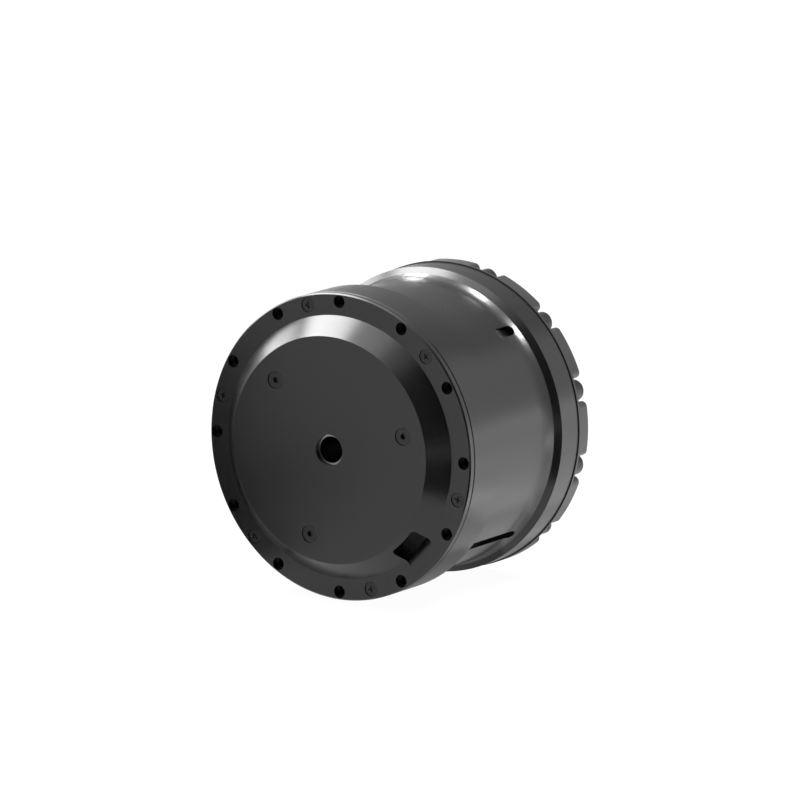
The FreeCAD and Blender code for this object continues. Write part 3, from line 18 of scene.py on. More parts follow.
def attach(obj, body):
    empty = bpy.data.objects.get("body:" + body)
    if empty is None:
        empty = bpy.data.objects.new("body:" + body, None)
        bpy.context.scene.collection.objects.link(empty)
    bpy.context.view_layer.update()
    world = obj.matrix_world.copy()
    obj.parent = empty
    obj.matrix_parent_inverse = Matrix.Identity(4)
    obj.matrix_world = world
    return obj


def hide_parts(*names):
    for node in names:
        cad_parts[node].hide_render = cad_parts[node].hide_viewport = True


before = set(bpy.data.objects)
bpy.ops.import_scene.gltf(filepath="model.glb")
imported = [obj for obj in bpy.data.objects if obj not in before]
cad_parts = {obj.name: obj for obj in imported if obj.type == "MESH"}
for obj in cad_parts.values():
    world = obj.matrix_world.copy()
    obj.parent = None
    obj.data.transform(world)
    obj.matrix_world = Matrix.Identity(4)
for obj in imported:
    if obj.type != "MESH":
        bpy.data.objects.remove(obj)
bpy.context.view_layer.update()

LOG = logging.getLogger("joint_actuator")
MM = 0.001

ALONG = (0.0, 1.0, 0.0)
UP = (0.0, 0.0, 1.0)
BLACK = (0.0, 0.0, 0.0)
WHITE = (1.0, 1.0, 1.0)

Colour = tuple[float, float, float]
Number = Union[float, "Signal"]


# --- shader expressions ------------------------------------------------------
class Lay(Enum):
    """Which way a tool has marked a turned or ground surface."""

    NONE = "none"
    ROUND = "round"
    FACE = "face"


class Signal:
    """A number that changes over a surface, written as a Python expression."""

    def __init__(self, sheet: "ShaderSheet", socket: bpy.types.NodeSocket) -> None:
        """Wrap an output socket of a sheet."""
        self.sheet = sheet
        self.socket = socket

    def _math(self, operation: str, first: Number, second: Number) -> "Signal":
        """Add one Math node.

        Args:
            operation: The Math node's operation.
            first: Its first value or link.
            second: Its second value or link.

        Returns:
            The result as a signal.
        """
        return self.sheet.signal("ShaderNodeMath", {"operation": operation}, {0: first, 1: second})

    def __add__(self, other: Number) -> "Signal":
        """Sum."""
        return self._math("ADD", self, other)

    def __sub__(self, other: Number) -> "Signal":
        """Difference."""
        return self._math("SUBTRACT", self, other)

    def __rsub__(self, other: Number) -> "Signal":
        """Difference from a number."""
        return self._math("SUBTRACT", other, self)

    def __mul__(self, other: Number) -> "Signal":
        """Product."""
        return self._math("MULTIPLY", self, other)

    def smooth(self, low: float, high: float) -> "Signal":
        """A soft step from nought at low to one at high."""
        settings = {"interpolation_type": "SMOOTHSTEP"}
        return self.sheet.signal("ShaderNodeMapRange", settings, {"Value": self, 1: low, 2: high})


class ShaderSheet:
    """The node tree of one material or world, laid out by expressions."""

    def __init__(self, name: str, world: Optional[bpy.types.World] = None) -> None:
        """Start an empty sheet.

        Args:
            name: The name of the new material.
            world: The world to lay out, where it isn't a material.
        """
        self.holder = world or bpy.data.materials.new(name)
        self.holder.use_nodes = True
        self.tree = self.holder.node_tree
        self.tree.nodes.clear()

    def node(self, kind: str, settings: Optional[dict] = None,
             inputs: Optional[dict] = None) -> bpy.types.Node:
        """Add one node.

        Args:
            kind: The node's type name.
            settings: Properties set before anything is linked.
            inputs: Values or links by socket name or index.

        Returns:
            The new node.
        """
        made = self.tree.nodes.new(kind)
        for key, value in (settings or {}).items():
            setattr(made, key, value)
        for key, value in (inputs or {}).items():
            self._feed(made.inputs[key], value)
        return made

    def _feed(self, socket: bpy.types.NodeSocket, value: object) -> None:
        """Link or set one input socket.

        Args:
            socket: The input socket.
            value: A signal or a socket to link, or a value to set.
        """
        if isinstance(value, Signal):
            self.tree.links.new(value.socket, socket)
        elif isinstance(value, bpy.types.NodeSocket):
            self.tree.links.new(value, socket)
        elif isinstance(value, tuple) and len(value) == 3 and socket.type == "RGBA":
            socket.default_value = (*value, 1.0)
        else:
            socket.default_value = value

    def signal(self, kind: str, settings: Optional[dict] = None, inputs: Optional[dict] = None,
               output: Union[int, str] = 0) -> Signal:
        """Add a node and give one of its outputs as a signal.

        Args:
            kind: The node's type name.
            settings: Properties set before anything is linked.
            inputs: Values or links by socket name or index.
            output: The output socket's name or index.

        Returns:
            That output as a signal.
        """
        return Signal(self, self.node(kind, settings, inputs).outputs[output])

    def place(self) -> bpy.types.NodeSocket:
        """The point on the surface, in the frame, in metres."""
        return self.node("ShaderNodeTexCoord").outputs["Object"]

    def axes(self) -> tuple[Signal, Signal, Signal]:
        """The point's x, y and z as signals."""
        parts = self.node("ShaderNodeSeparateXYZ", None, {0: self.place()})
        return tuple(Signal(self, socket) for socket in parts.outputs)

    def radius(self) -> Signal:
        """The point's distance from the joint axis."""
        x, _, z = self.axes()
        return self.signal("ShaderNodeMath", {"operation": "SQRT"}, {0: x * x + z * z})

    def noise(self, size: float, detail: float = 2.0) -> Signal:
        """Fractal noise whose grains are about a size across, in metres."""
        inputs = {"Vector": self.place(), "Scale": 1.0 / size, "Detail": detail}
        return self.signal("ShaderNodeTexNoise", None, inputs)

    @staticmethod
    def swing(cloud: Signal, reach: float) -> Signal:
        """Noise of nought to one brought round nought, with a reach from end to end."""
        return (cloud - 0.5) * reach

    def lines(self, run: Signal, pitch: float) -> Signal:
        """A saw that rises from nought to one and falls again over each pitch.

        Args:
            run: What the saw runs along, in metres.
            pitch: Its period, in metres.

        Returns:
            The saw.
        """
        half = pitch / 2
        saw = self.signal("ShaderNodeMath", {"operation": "PINGPONG"}, {0: run, 1: half})
        return saw * (1.0 / half)

    def cells(self, scale: float, **settings: str) -> Signal:
        """The distance that a Voronoi texture gives at a scale."""
        inputs = {"Vector": self.place(), "Scale": scale}
        return self.signal("ShaderNodeTexVoronoi", settings, inputs, "Distance")

    def marks(self, lay: Lay, pitch: float) -> Signal:
        """The wave that a tool leaves, between minus one and one.

        Args:
            lay: Which way the tool went.
            pitch: The feed of the tool over one turn, in metres.

        Returns:
            The wave.
        """
        run = self.radius() if lay is Lay.FACE else self.axes()[1]
        turns = run * (2 * math.pi / pitch)
        return self.signal("ShaderNodeMath", {"operation": "SINE"}, {0: turns})

    def blend(self, factor: Number, first: object, second: object) -> bpy.types.NodeSocket:
        """Mix two colours.

        Args:
            factor: How much of the second colour.
            first: A colour or a colour socket.
            second: A colour or a colour socket.

        Returns:
            The mixed colour's socket.
        """
        made = self.node("ShaderNodeMix", {"data_type": "RGBA"})
        self._feed(made.inputs["Factor"], factor)
        colours = [socket for socket in made.inputs if socket.type == "RGBA"]
        self._feed(colours[0], first)
        self._feed(colours[1], second)
        return [socket for socket in made.outputs if socket.type == "RGBA"][0]

    def bump(self, height: Signal, depth: float) -> bpy.types.NodeSocket:
        """A bumped normal from a height of nought to one that is a depth tall, in metres."""
        inputs = {"Strength": 1.0, "Distance": depth, "Height": height}
        return self.node("ShaderNodeBump", None, inputs).outputs["Normal"]

    def finish(self, **surface: object) -> bpy.types.Material:
        """Close the sheet with a Principled shader.

        Args:
            **surface: Its sockets, with underscores for the spaces in their names.

        Returns:
            The material.
        """
        inputs = {key.replace("_", " "): value for key, value in surface.items()}
        shader = self.node("ShaderNodeBsdfPrincipled", None, inputs)
        self.node("ShaderNodeOutputMaterial", None, {"Surface": shader.outputs[0]})
        return self.holder


# --- finishes ----------------------------------------------------------------
def shaded(colour: Colour, share: float) -> Colour:
    """A colour with each channel times a share."""
    return tuple(channel * share for channel in colour)


@dataclass(frozen=True)
class SatinAnodised:
    """Black anodised aluminium: fine blasted grain over faint turning marks."""

    name: str
    dye: Colour = (0.0034, 0.0034, 0.0036)
    roughness: float = 0.25
    lay: Lay = Lay.NONE
    cloud_size: float = 18 * MM
    grain: float = 0.12 * MM
    mark_pitch: float = 0.16 * MM
    depth: float = 0.003 * MM
    dark_share: float = 0.82
    light_share: float = 1.25
    grain_share: float = 0.7
    mark_share: float = 0.15
    cloud_roughness: float = 0.08
    grain_roughness: float = 0.06

    def material(self) -> bpy.types.Material:
        """Build the finish's material.

        Returns:
            The new material.
        """
        sheet = ShaderSheet(self.name)
        cloud = sheet.noise(self.cloud_size, detail=3.0)
        fine = sheet.noise(self.grain)
        colour = sheet.blend(cloud, shaded(self.dye, self.dark_share),
                             shaded(self.dye, self.light_share))
        height = fine
        if self.lay is not Lay.NONE:
            marks = sheet.marks(self.lay, self.mark_pitch)
            height = fine * self.grain_share + marks * self.mark_share
        roughness = (sheet.swing(cloud, self.cloud_roughness)
                     + sheet.swing(fine, self.grain_roughness) + self.roughness)
        return sheet.finish(Base_Color=colour, Roughness=roughness, Metallic=0.0,
                            Normal=sheet.bump(height, self.depth))


@dataclass(frozen=True)
class MachinedSteel:
    """Bare or blackened steel, turned, ground or cut."""

    name: str
    colour: Colour
    roughness: float = 0.28
    metallic: float = 1.0
    lay: Lay = Lay.ROUND
    mark_pitch: float = 0.12 * MM
    cloud_size: float = 4 * MM
    grain: float = 0.15 * MM
    depth: float = 0.0015 * MM
    dark_share: float = 0.85
    grain_share: float = 0.5
    mark_share: float = 0.5
    cloud_roughness: float = 0.14

    def material(self) -> bpy.types.Material:
        """Build the finish's material.

        Returns:
            The new material.
        """
        sheet = ShaderSheet(self.name)
        cloud = sheet.noise(self.cloud_size, detail=3.0)
        fine = sheet.noise(self.grain)
        colour = sheet.blend(cloud, shaded(self.colour, self.dark_share), self.colour)
        height = fine
        if self.lay is not Lay.NONE:
            marks = sheet.marks(self.lay, self.mark_pitch)
            height = fine * self.grain_share + marks * self.mark_share
        roughness = sheet.swing(cloud, self.cloud_roughness) + self.roughness
        return sheet.finish(Base_Color=colour, Roughness=roughness, Metallic=self.metallic,
                            Normal=sheet.bump(height, self.depth))


@dataclass(frozen=True)
class StackedSheets:
    """A core of thin punched sheets, with their edges showing as fine lines."""

    name: str
    colour: Colour = (0.16, 0.16, 0.17)
    sheet_thickness: float = 0.35 * MM
    spot_size: float = 2 * MM
    depth: float = 0.03 * MM
    gap_edges: tuple[float, float] = (0.05, 0.3)
    gap_share: float = 0.35
    metallic: float = 0.8
    roughness: float = 0.35
    spot_roughness: float = 0.2

    def material(self) -> bpy.types.Material:
        """Build the finish's material.

        Returns:
            The new material.
        """
        sheet = ShaderSheet(self.name)
        saw = sheet.lines(sheet.axes()[1], self.sheet_thickness)
        line = saw.smooth(*self.gap_edges)
        colour = sheet.blend(line, shaded(self.colour, self.gap_share), self.colour)
        spots = sheet.noise(self.spot_size, detail=3.0)
        return sheet.finish(Base_Color=colour, Metallic=self.metallic,
                            Roughness=spots * self.spot_roughness + self.roughness,
                            Normal=sheet.bump(line, self.depth))


@dataclass(frozen=True)
class EnamelledWire:
    """Copper windings: strands laid side by side under a clear amber enamel, with painted shade in
    the grooves between strands.
    """

    name: str
    colour: Colour = (0.52, 0.19, 0.06)
    strand: float = 0.45 * MM
    tint_size: float = 1.5 * MM
    depth: float = 0.2 * MM
    crown_edge: float = 0.8
    # share of the colour left in the painted shade between strands
    gap_share: float = 0.25
    tint_low: float = 0.7
    tint_swing: float = 0.4
    metallic: float = 0.85
    roughness: float = 0.3
    enamel: float = 0.5

    def material(self) -> bpy.types.Material:
        """Build the finish's material.

        Returns:
            The new material.
        """
        sheet = ShaderSheet(self.name)
        crown = sheet.lines(sheet.radius(), self.strand).smooth(0.0, self.crown_edge)
        tint = sheet.noise(self.tint_size) * self.tint_swing + self.tint_low
        # the grooves between strands are darkened: painted shade
        colour = sheet.blend(crown * tint, shaded(self.colour, self.gap_share), self.colour)
        return sheet.finish(Base_Color=colour, Metallic=self.metallic, Roughness=self.roughness,
                            Coat_Weight=self.enamel, Normal=sheet.bump(crown, self.depth))


@dataclass(frozen=True)
class MouldedBody:
    """Plastic, rubber or lacquer with a fine moulded grain."""

    name: str
    colour: Colour
    roughness: float = 0.5
    cloud_size: float = 6 * MM
    grain: float = 0.3 * MM
    depth: float = 0.01 * MM
    dark_share: float = 0.8
    grain_roughness: float = 0.15

    def material(self) -> bpy.types.Material:
        """Build the finish's material.

        Returns:
            The new material.
        """
        sheet = ShaderSheet(self.name)
        fine = sheet.noise(self.grain, detail=3.0)
        cloud = sheet.noise(self.cloud_size)
        colour = sheet.blend(cloud, shaded(self.colour, self.dark_share), self.colour)
        roughness = sheet.swing(fine, self.grain_roughness) + self.roughness
        return sheet.finish(Base_Color=colour, Roughness=roughness, Metallic=0.0,
                            Normal=sheet.bump(fine, self.depth))


@dataclass(frozen=True)
class SolderMask:
    """A circuit board: dark lacquer over raised copper tracks and small vias."""

    name: str
    colour: Colour = (0.004, 0.005, 0.005)
    track: Colour = (0.012, 0.014, 0.014)
    pad: Colour = (0.7, 0.52, 0.25)
    lanes_per_metre: float = 700.0
    vias_per_metre: float = 420.0
    track_edges: tuple[float, float] = (0.08, 0.12)
    via_edges: tuple[float, float] = (0.1, 0.14)
    depth: float = 0.03 * MM
    roughness: float = 0.75
    pad_polish: float = 0.4

    def material(self) -> bpy.types.Material:
        """Build the finish's material.

        Returns:
            The new material.
        """
        sheet = ShaderSheet(self.name)
        lanes = sheet.cells(self.lanes_per_metre, feature="DISTANCE_TO_EDGE",
                            distance="MANHATTAN")
        tracks = 1 - lanes.smooth(*self.track_edges)
        dots = sheet.cells(self.vias_per_metre, feature="F1")
        vias = 1 - dots.smooth(*self.via_edges)
        colour = sheet.blend(vias, sheet.blend(tracks, self.colour, self.track), self.pad)
        return sheet.finish(Base_Color=colour, Metallic=vias,
                            Roughness=self.roughness - vias * self.pad_polish,
                            Normal=sheet.bump(tracks + vias, self.depth))


# Columns of MachinedSteel: name, colour, roughness, metallic, lay.
FINISHES = (
    SatinAnodised("anodised_cover", lay=Lay.FACE),
    SatinAnodised("anodised_housing", lay=Lay.ROUND),
    MachinedSteel("tube_steel", (0.27, 0.27, 0.28), 0.24, 1.0, Lay.ROUND),
    MachinedSteel("blackened_ring", (0.012, 0.012, 0.013), 0.33, 0.0, Lay.ROUND),
    MachinedSteel("blackened_flange", (0.012, 0.012, 0.013), 0.33, 0.0, Lay.FACE),
    MachinedSteel("black_oxide", (0.035, 0.035, 0.036), 0.3, 0.85, Lay.NONE),
    MachinedSteel("ground_steel", (0.6, 0.6, 0.61), 0.16, 1.0, Lay.ROUND),
    MachinedSteel("gear_steel", (0.46, 0.46, 0.48), 0.3, 1.0, Lay.ROUND),
    MachinedSteel("spring_steel", (0.16, 0.16, 0.17), 0.35, 1.0, Lay.NONE),
    MachinedSteel("turned_aluminium", (0.66, 0.66, 0.67), 0.32, 1.0, Lay.FACE,
                  mark_pitch=0.3 * MM),
    MachinedSteel("nickel_plate", (0.6, 0.57, 0.52), 0.25, 1.0, Lay.NONE),
    MachinedSteel("turned_brass", (0.62, 0.44, 0.17), 0.3, 1.0, Lay.ROUND),
    MachinedSteel("drawn_can", (0.6, 0.6, 0.62), 0.28, 1.0, Lay.NONE),
    MachinedSteel("gilt_contact", (0.85, 0.6, 0.24), 0.2, 1.0, Lay.NONE),
    StackedSheets("stacked_sheets"),
    EnamelledWire("enamelled_wire"),
    MouldedBody("seal_rubber", (0.012, 0.012, 0.012), 0.6),
    MouldedBody("ferrite", (0.05, 0.05, 0.055), 0.55),
    MouldedBody("separator_nylon", (0.62, 0.57, 0.42), 0.45),
    MouldedBody("chip_epoxy", (0.012, 0.012, 0.013), 0.45),
    MouldedBody("connector_nylon", (0.012, 0.012, 0.012), 0.5),
    SolderMask("solder_mask"),
)

NODE_FINISH = {
    "front_cover": "anodised_cover",
    "main_housing": "anodised_housing",
    "hollow_shaft": "tube_steel",
    "bearing_outer_ring": "blackened_ring",
    "output_flange": "blackened_flange",
    "cover_cross_screws": "black_oxide",
    "cover_hex_screws": "black_oxide",
    "flange_screws": "black_oxide",
    "hollow_shaft_screws": "black_oxide",
    "circular_spline_screws": "black_oxide",
    "flexspline_screws": "black_oxide",
    "board_screws": "black_oxide",
    "encoder_screws": "black_oxide",
    "cover_oring": "seal_rubber",
    "output_seal": "seal_rubber",
    "motor_shaft_seal": "seal_rubber",
    "circular_spline": "gear_steel",
    "flexspline": "gear_steel",
    "flexspline_clamp": "gear_steel",
    "rotor_shaft": "gear_steel",
    "crossed_rollers": "ground_steel",
    "roller_separators": "separator_nylon",
    "front_bearing_outer": "ground_steel",
    "front_bearing_inner": "ground_steel",
    "front_bearing_balls": "ground_steel",
    "rear_bearing_outer": "ground_steel",
    "rear_bearing_inner": "ground_steel",
    "rear_bearing_balls": "ground_steel",
    "wave_bearing_outer": "ground_steel",
    "wave_bearing_inner": "ground_steel",
    "wave_bearing_balls": "ground_steel",
    "wave_generator_plug": "turned_aluminium",
    "bearing_carrier": "turned_aluminium",
    "plug_retaining_ring": "spring_steel",
    "carrier_retaining_ring": "spring_steel",
    "stator_core": "stacked_sheets",
    "rotor_core": "stacked_sheets",
    "stator_windings": "enamelled_wire",
    "rotor_magnets": "nickel_plate",
    "motor_encoder_disc": "ferrite",
    "output_encoder_disc": "ferrite",
    "cover_pillars": "turned_brass",
    "board_pillars": "turned_brass",
    "encoder_pillars": "turned_brass",
    "driver_board": "solder_mask",
    "encoder_board": "solder_mask",
    "driver_mosfets": "chip_epoxy",
    "driver_processor": "chip_epoxy",
    "driver_capacitors": "drawn_can",
    "cable_connector": "connector_nylon",
}


class Wardrobe:
    """Every finish of the actuator, built once and handed out by name."""

    def __init__(self) -> None:
        """Build all the finishes."""
        self.materials = {finish.name: finish.material() for finish in FINISHES}

    def dress(self, obj: bpy.types.Object, finish: str) -> None:
        """Put a finish on every material slot of an object.

        Args:
            obj: The object to dress.
            finish: The finish's name.
        """
        if not obj.material_slots:
            obj.data.materials.append(self.materials[finish])
        for slot in obj.material_slots:
            slot.material = self.materials[finish]

    def dress_frame(self) -> None:
        """Put the right finish on each CAD node."""
        for name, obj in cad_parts.items():
            self.dress(obj, NODE_FINISH[name])
            LOG.info("finish %s on %s", NODE_FINISH[name], name)


# --- meshes ------------------------------------------------------------------
def polar(radius: float, clock: float, station: float) -> Vector:
    """The point at a radius, a clock angle and a station."""
    angle = math.radians(clock)
    return Vector((radius * math.sin(angle), station, radius * math.cos(angle)))


def link(name: str, data: bpy.types.ID) -> bpy.types.Object:
    """Make an object of a mesh, lamp or camera and put it in the scene.

    Args:
        name: The object's name.
        data: What it shows.

    Returns:
        The new object.
    """
    obj = bpy.data.objects.new(name, data)
    bpy.context.scene.collection.objects.link(obj)
    return obj


class Shaper:
    """Collects the faces of one piece and turns them into an object."""

    def __init__(self, name: str) -> None:
        """Start an empty piece."""
        self.name = name
        self.mesh = bmesh.new()

    def corners(self, places: list[Vector]) -> list[bmesh.types.BMVert]:
        """Add a vertex at each place."""
        return [self.mesh.verts.new(place) for place in places]

    def wall(self, first: list[bmesh.types.BMVert], second: list[bmesh.types.BMVert]) -> None:
        """Join two closed loops of vertices with a face for each side.

        Args:
            first: One loop.
            second: The other, with as many vertices.
        """
        for side in range(len(first)):
            after = (side + 1) % len(first)
            self.mesh.faces.new((first[side], first[after], second[after], second[side]))

    def make(self, smooth_angle: float = 35.0) -> bpy.types.Object:
        """Close the piece.

        Args:
            smooth_angle: Edges sharper than this, in degrees, stay sharp.

        Returns:
            The new object.
        """
        bmesh.ops.recalc_face_normals(self.mesh, faces=self.mesh.faces)
        for face in self.mesh.faces:
            face.smooth = True
        for edge in self.mesh.edges:
            if len(edge.link_faces) == 2:
                edge.smooth = edge.calc_face_angle(0.0) < math.radians(smooth_angle)
        data = bpy.data.meshes.new(self.name)
        self.mesh.to_mesh(data)
        self.mesh.free()
        return link(self.name, data)


@dataclass
class TappedHoles:
    """The helical ridges of the threads in a ring of tapped holes.

    Attributes:
        circle: Radius of the ring that the holes stand on.
        first_clock: Clock angle of the first hole.
        major: Radius of the thread's root, at the hole's wall.
        minor: Radius of the thread's crest.
        start: Station where the thread starts.
        steps: Steps in one turn.
        flank_share: Half the ridge's width at its root, as a share of the pitch.
        smooth_angle: Edges sharper than this, in degrees, stay sharp.
    """

    name: str
    body: str
    slot: str
    circle: float
    first_clock: float
    count: int
    major: float
    minor: float
    pitch: float
    start: float
    length: float
    steps: int = 20
    flank_share: float = 0.36
    smooth_angle: float = 60.0

    def build(self, wardrobe: Wardrobe, finish: str) -> bpy.types.Object:
        """Build the threads of every hole as one piece.

        Args:
            wardrobe: Where the finishes come from.
            finish: The finish's name.

        Returns:
            The piece.
        """
        shaper = Shaper(self.name)
        for index in range(self.count):
            self._thread(shaper, self.first_clock + 360.0 / self.count * index)
        piece = shaper.make(self.smooth_angle)
        wardrobe.dress(piece, finish)
        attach(piece, self.body)
        LOG.info("%s: %d holes", self.name, self.count)
        return piece

    def _thread(self, shaper: Shaper, clock: float) -> None:
        """Add the ridge of one hole: a thin helical band that narrows at both ends.

        Args:
            shaper: The piece that it goes into.
            clock: The hole's clock angle.
        """
        centre = polar(self.circle, clock, 0.0)
        turns = self.length / self.pitch
        total = int(turns * self.steps)
        flank = self.pitch * self.flank_share
        rows = []
        for step in range(total + 1):
            angle = 2 * math.pi * step / self.steps
            station = self.start + self.length * step / total
            fade = min(1.0, step / self.steps, (total - step) / self.steps)
            crest = self.major - (self.major - self.minor) * fade
            along = Vector((math.sin(angle), 0.0, math.cos(angle)))
            ridge = ((self.major, -flank), (crest, 0.0), (self.major, flank))
            rows.append(shaper.corners([centre + along * radius + Vector((0, station + rise, 0))
                                        for radius, rise in ridge]))
        for first, second in zip(rows, rows[1:]):
            for left, right in ((0, 1), (1, 2)):
                shaper.mesh.faces.new((first[left], first[right], second[right], second[left]))


@dataclass
class ConnectorPins:
    """The gilt pins inside the cable connector on the driver board."""

    clock: float = 135.0
    radius: float = 19.5 * MM
    station: float = 0.2 * MM
    count: int = 6
    pitch: float = 1.05 * MM
    thickness: float = 0.28 * MM
    length: float = 3.2 * MM
    shoulder: float = 0.85
    point: float = 0.4
    smooth_angle: float = 30.0

    def _ring(self, x: float, share: float, height: float) -> list[Vector]:
        """The four corners of a pin's section.

        Args:
            x: The pin's place along the row.
            share: The section's width, as a share of the pin's thickness.
            height: How far up the pin it is, as a share of its length.

        Returns:
            The corners, turned to the connector's clock angle.
        """
        turn = Matrix.Rotation(math.radians(self.clock), 4, "Y")
        half = self.thickness / 2 * share
        reach = self.radius + self.length * height
        return [turn @ Vector((x + across * half, self.station + along * half, reach))
                for across, along in ((-1, -1), (1, -1), (1, 1), (-1, 1))]

    def build(self, wardrobe: Wardrobe) -> bpy.types.Object:
        """Build the row of pins.

        Args:
            wardrobe: Where the finishes come from.

        Returns:
            The piece.
        """
        shaper = Shaper("connector_pins")
        for index in range(self.count):
            x = (index - (self.count - 1) / 2) * self.pitch
            foot = shaper.corners(self._ring(x, 1.0, 0.0))
            shoulder = shaper.corners(self._ring(x, 1.0, self.shoulder))
            tip = shaper.corners(self._ring(x, self.point, 1.0))
            shaper.wall(foot, shoulder)
            shaper.wall(shoulder, tip)
            shaper.mesh.faces.new(tip)
            shaper.mesh.faces.new(foot[::-1])
        piece = shaper.make(self.smooth_angle)
        wardrobe.dress(piece, "gilt_contact")
        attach(piece, "housing")
        LOG.info("connector pins: %d", self.count)
        return piece


@dataclass
class OpenedWindow:
    """The cover, with its cable window opened right up to the rounded lip.

    Attributes:
        half_width: Half the width of what is milled away.
        lip_edge: Radius where the lip's rounding meets the mounting face.
        lip_radius: Radius of the lip's rounding.
        inside: Smallest radius of what is milled away.
        outside: Radius where the milling meets the rounding.
        front: Station where the milling starts, just before the mounting face.
        steps: Steps along the rounding.
        smooth_angle: Edges sharper than this, in degrees, stay sharp.
    """

    clock: float = 135.0
    half_width: float = 4.05 * MM
    lip_edge: float = 31.6 * MM
    lip_radius: float = 4.0 * MM
    inside: float = 26.0 * MM
    outside: float = 28.95 * MM
    front: float = -0.5 * MM
    steps: int = 8
    smooth_angle: float = 25.0

    def _section(self) -> list[tuple[float, float]]:
        """Draw what is milled away.

        Returns:
            The (radius, station) corners of its section.
        """
        deepest = self.lip_edge - self.lip_radius
        corners = [(self.inside, self.front), (self.outside, self.front)]
        for step in range(self.steps + 1):
            radius = self.outside + (deepest - self.outside) * step / self.steps
            run = min(self.lip_radius, self.lip_edge - radius)
            corners.append((radius, self.lip_radius - math.sqrt(self.lip_radius ** 2 - run ** 2)))
        return corners + [(self.inside, self.lip_radius)]

    def _cutter(self) -> bpy.types.Object:
        """Make the shape of the milled slot.

        Returns:
            An object of its own.
        """
        shaper = Shaper("window_cutter")
        turn = Matrix.Rotation(math.radians(self.clock), 4, "Y")
        left, right = (shaper.corners([turn @ Vector((x, station, radius))
                                       for radius, station in self._section()])
                       for x in (-self.half_width, self.half_width))
        shaper.wall(left, right)
        shaper.mesh.faces.new(left[::-1])
        shaper.mesh.faces.new(right)
        return shaper.make()

    def build(self, wardrobe: Wardrobe) -> bpy.types.Object:
        """Mill the slot out of a copy of the cover, which then stands for it.

        Args:
            wardrobe: Where the finishes come from.

        Returns:
            The piece.
        """
        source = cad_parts["front_cover"]
        mesh = source.data.copy()
        mesh.transform(source.matrix_world)
        blank = link("cover_blank", mesh)
        cutter = self._cutter()
        milling = blank.modifiers.new("milling", "BOOLEAN")
        milling.operation = "DIFFERENCE"
        milling.solver = "EXACT"
        milling.object = cutter
        bpy.context.view_layer.update()
        milled = blank.evaluated_get(bpy.context.evaluated_depsgraph_get())
        shaper = Shaper("milled_cover")
        shaper.mesh.from_mesh(milled.to_mesh())
        milled.to_mesh_clear()
        for leftover in (blank, cutter):
            bpy.data.objects.remove(leftover)
        piece = shaper.make(self.smooth_angle)
        piece.data.materials.clear()
        wardrobe.dress(piece, NODE_FINISH["front_cover"])
        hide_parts("front_cover")
        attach(piece, "housing")
        LOG.info("milled cover: %d faces", len(piece.data.polygons))
        return piece


# --- studio ------------------------------------------------------------------
@dataclass
class Softbox:
    """One area lamp that looks at the actuator."""

    name: str
    direction: tuple[float, float, float]
    width: float
    height: float
    power: float
    distance: float = 0.9

    def build(self, target: Vector) -> bpy.types.Object:
        """Hang the lamp and aim it at a target, with its height along the joint axis.

        Args:
            target: The point that it looks at.

        Returns:
            The lamp.
        """
        lamp = bpy.data.lights.new(self.name, "AREA")
        lamp.shape = "RECTANGLE"
        lamp.size = self.width
        lamp.size_y = self.height
        lamp.energy = self.power
        obj = link(self.name, lamp)
        way = Vector(self.direction).normalized()
        across = Vector(ALONG).cross(way).normalized()
        turn = Matrix((across, way.cross(across), way)).transposed().to_4x4()
        turn.translation = target + way * self.distance
        obj.matrix_world = turn
        return obj


def flat_square(name: str, place: Matrix) -> bpy.types.Object:
    """Make a flat square.

    Args:
        name: The object's name.
        place: Where a square of one metre at the origin is taken.

    Returns:
        The square.
    """
    mesh = bmesh.new()
    bmesh.ops.create_grid(mesh, x_segments=1, y_segments=1, size=0.5)
    bmesh.ops.transform(mesh, matrix=place, verts=mesh.verts)
    data = bpy.data.meshes.new(name)
    mesh.to_mesh(data)
    mesh.free()
    return link(name, data)


@dataclass
class Card:
    """A card that only shows in what the metal reflects: black, or glowing."""

    name: str
    place: tuple[float, float, float]
    facing: tuple[float, float, float]
    width: float
    height: float
    glow: float = 0.0

    def build(self) -> bpy.types.Object:
        """Hang the card at its place, facing its way.

        Returns:
            The card.
        """
        way = Vector(self.facing).normalized()
        turn = way.to_track_quat("Z", "Y").to_matrix().to_4x4()
        turn.translation = Vector(self.place)
        turn = turn @ Matrix.Diagonal((self.width, self.height, 1.0, 1.0))
        card = flat_square(self.name, turn)
        sheet = ShaderSheet(self.name)
        card.data.materials.append(sheet.finish(
            Base_Color=BLACK, Roughness=1.0, Specular_IOR_Level=0.0,
            Emission_Color=WHITE, Emission_Strength=self.glow))
        card.visible_camera = False
        card.visible_diffuse = False
        card.visible_shadow = False
        return card


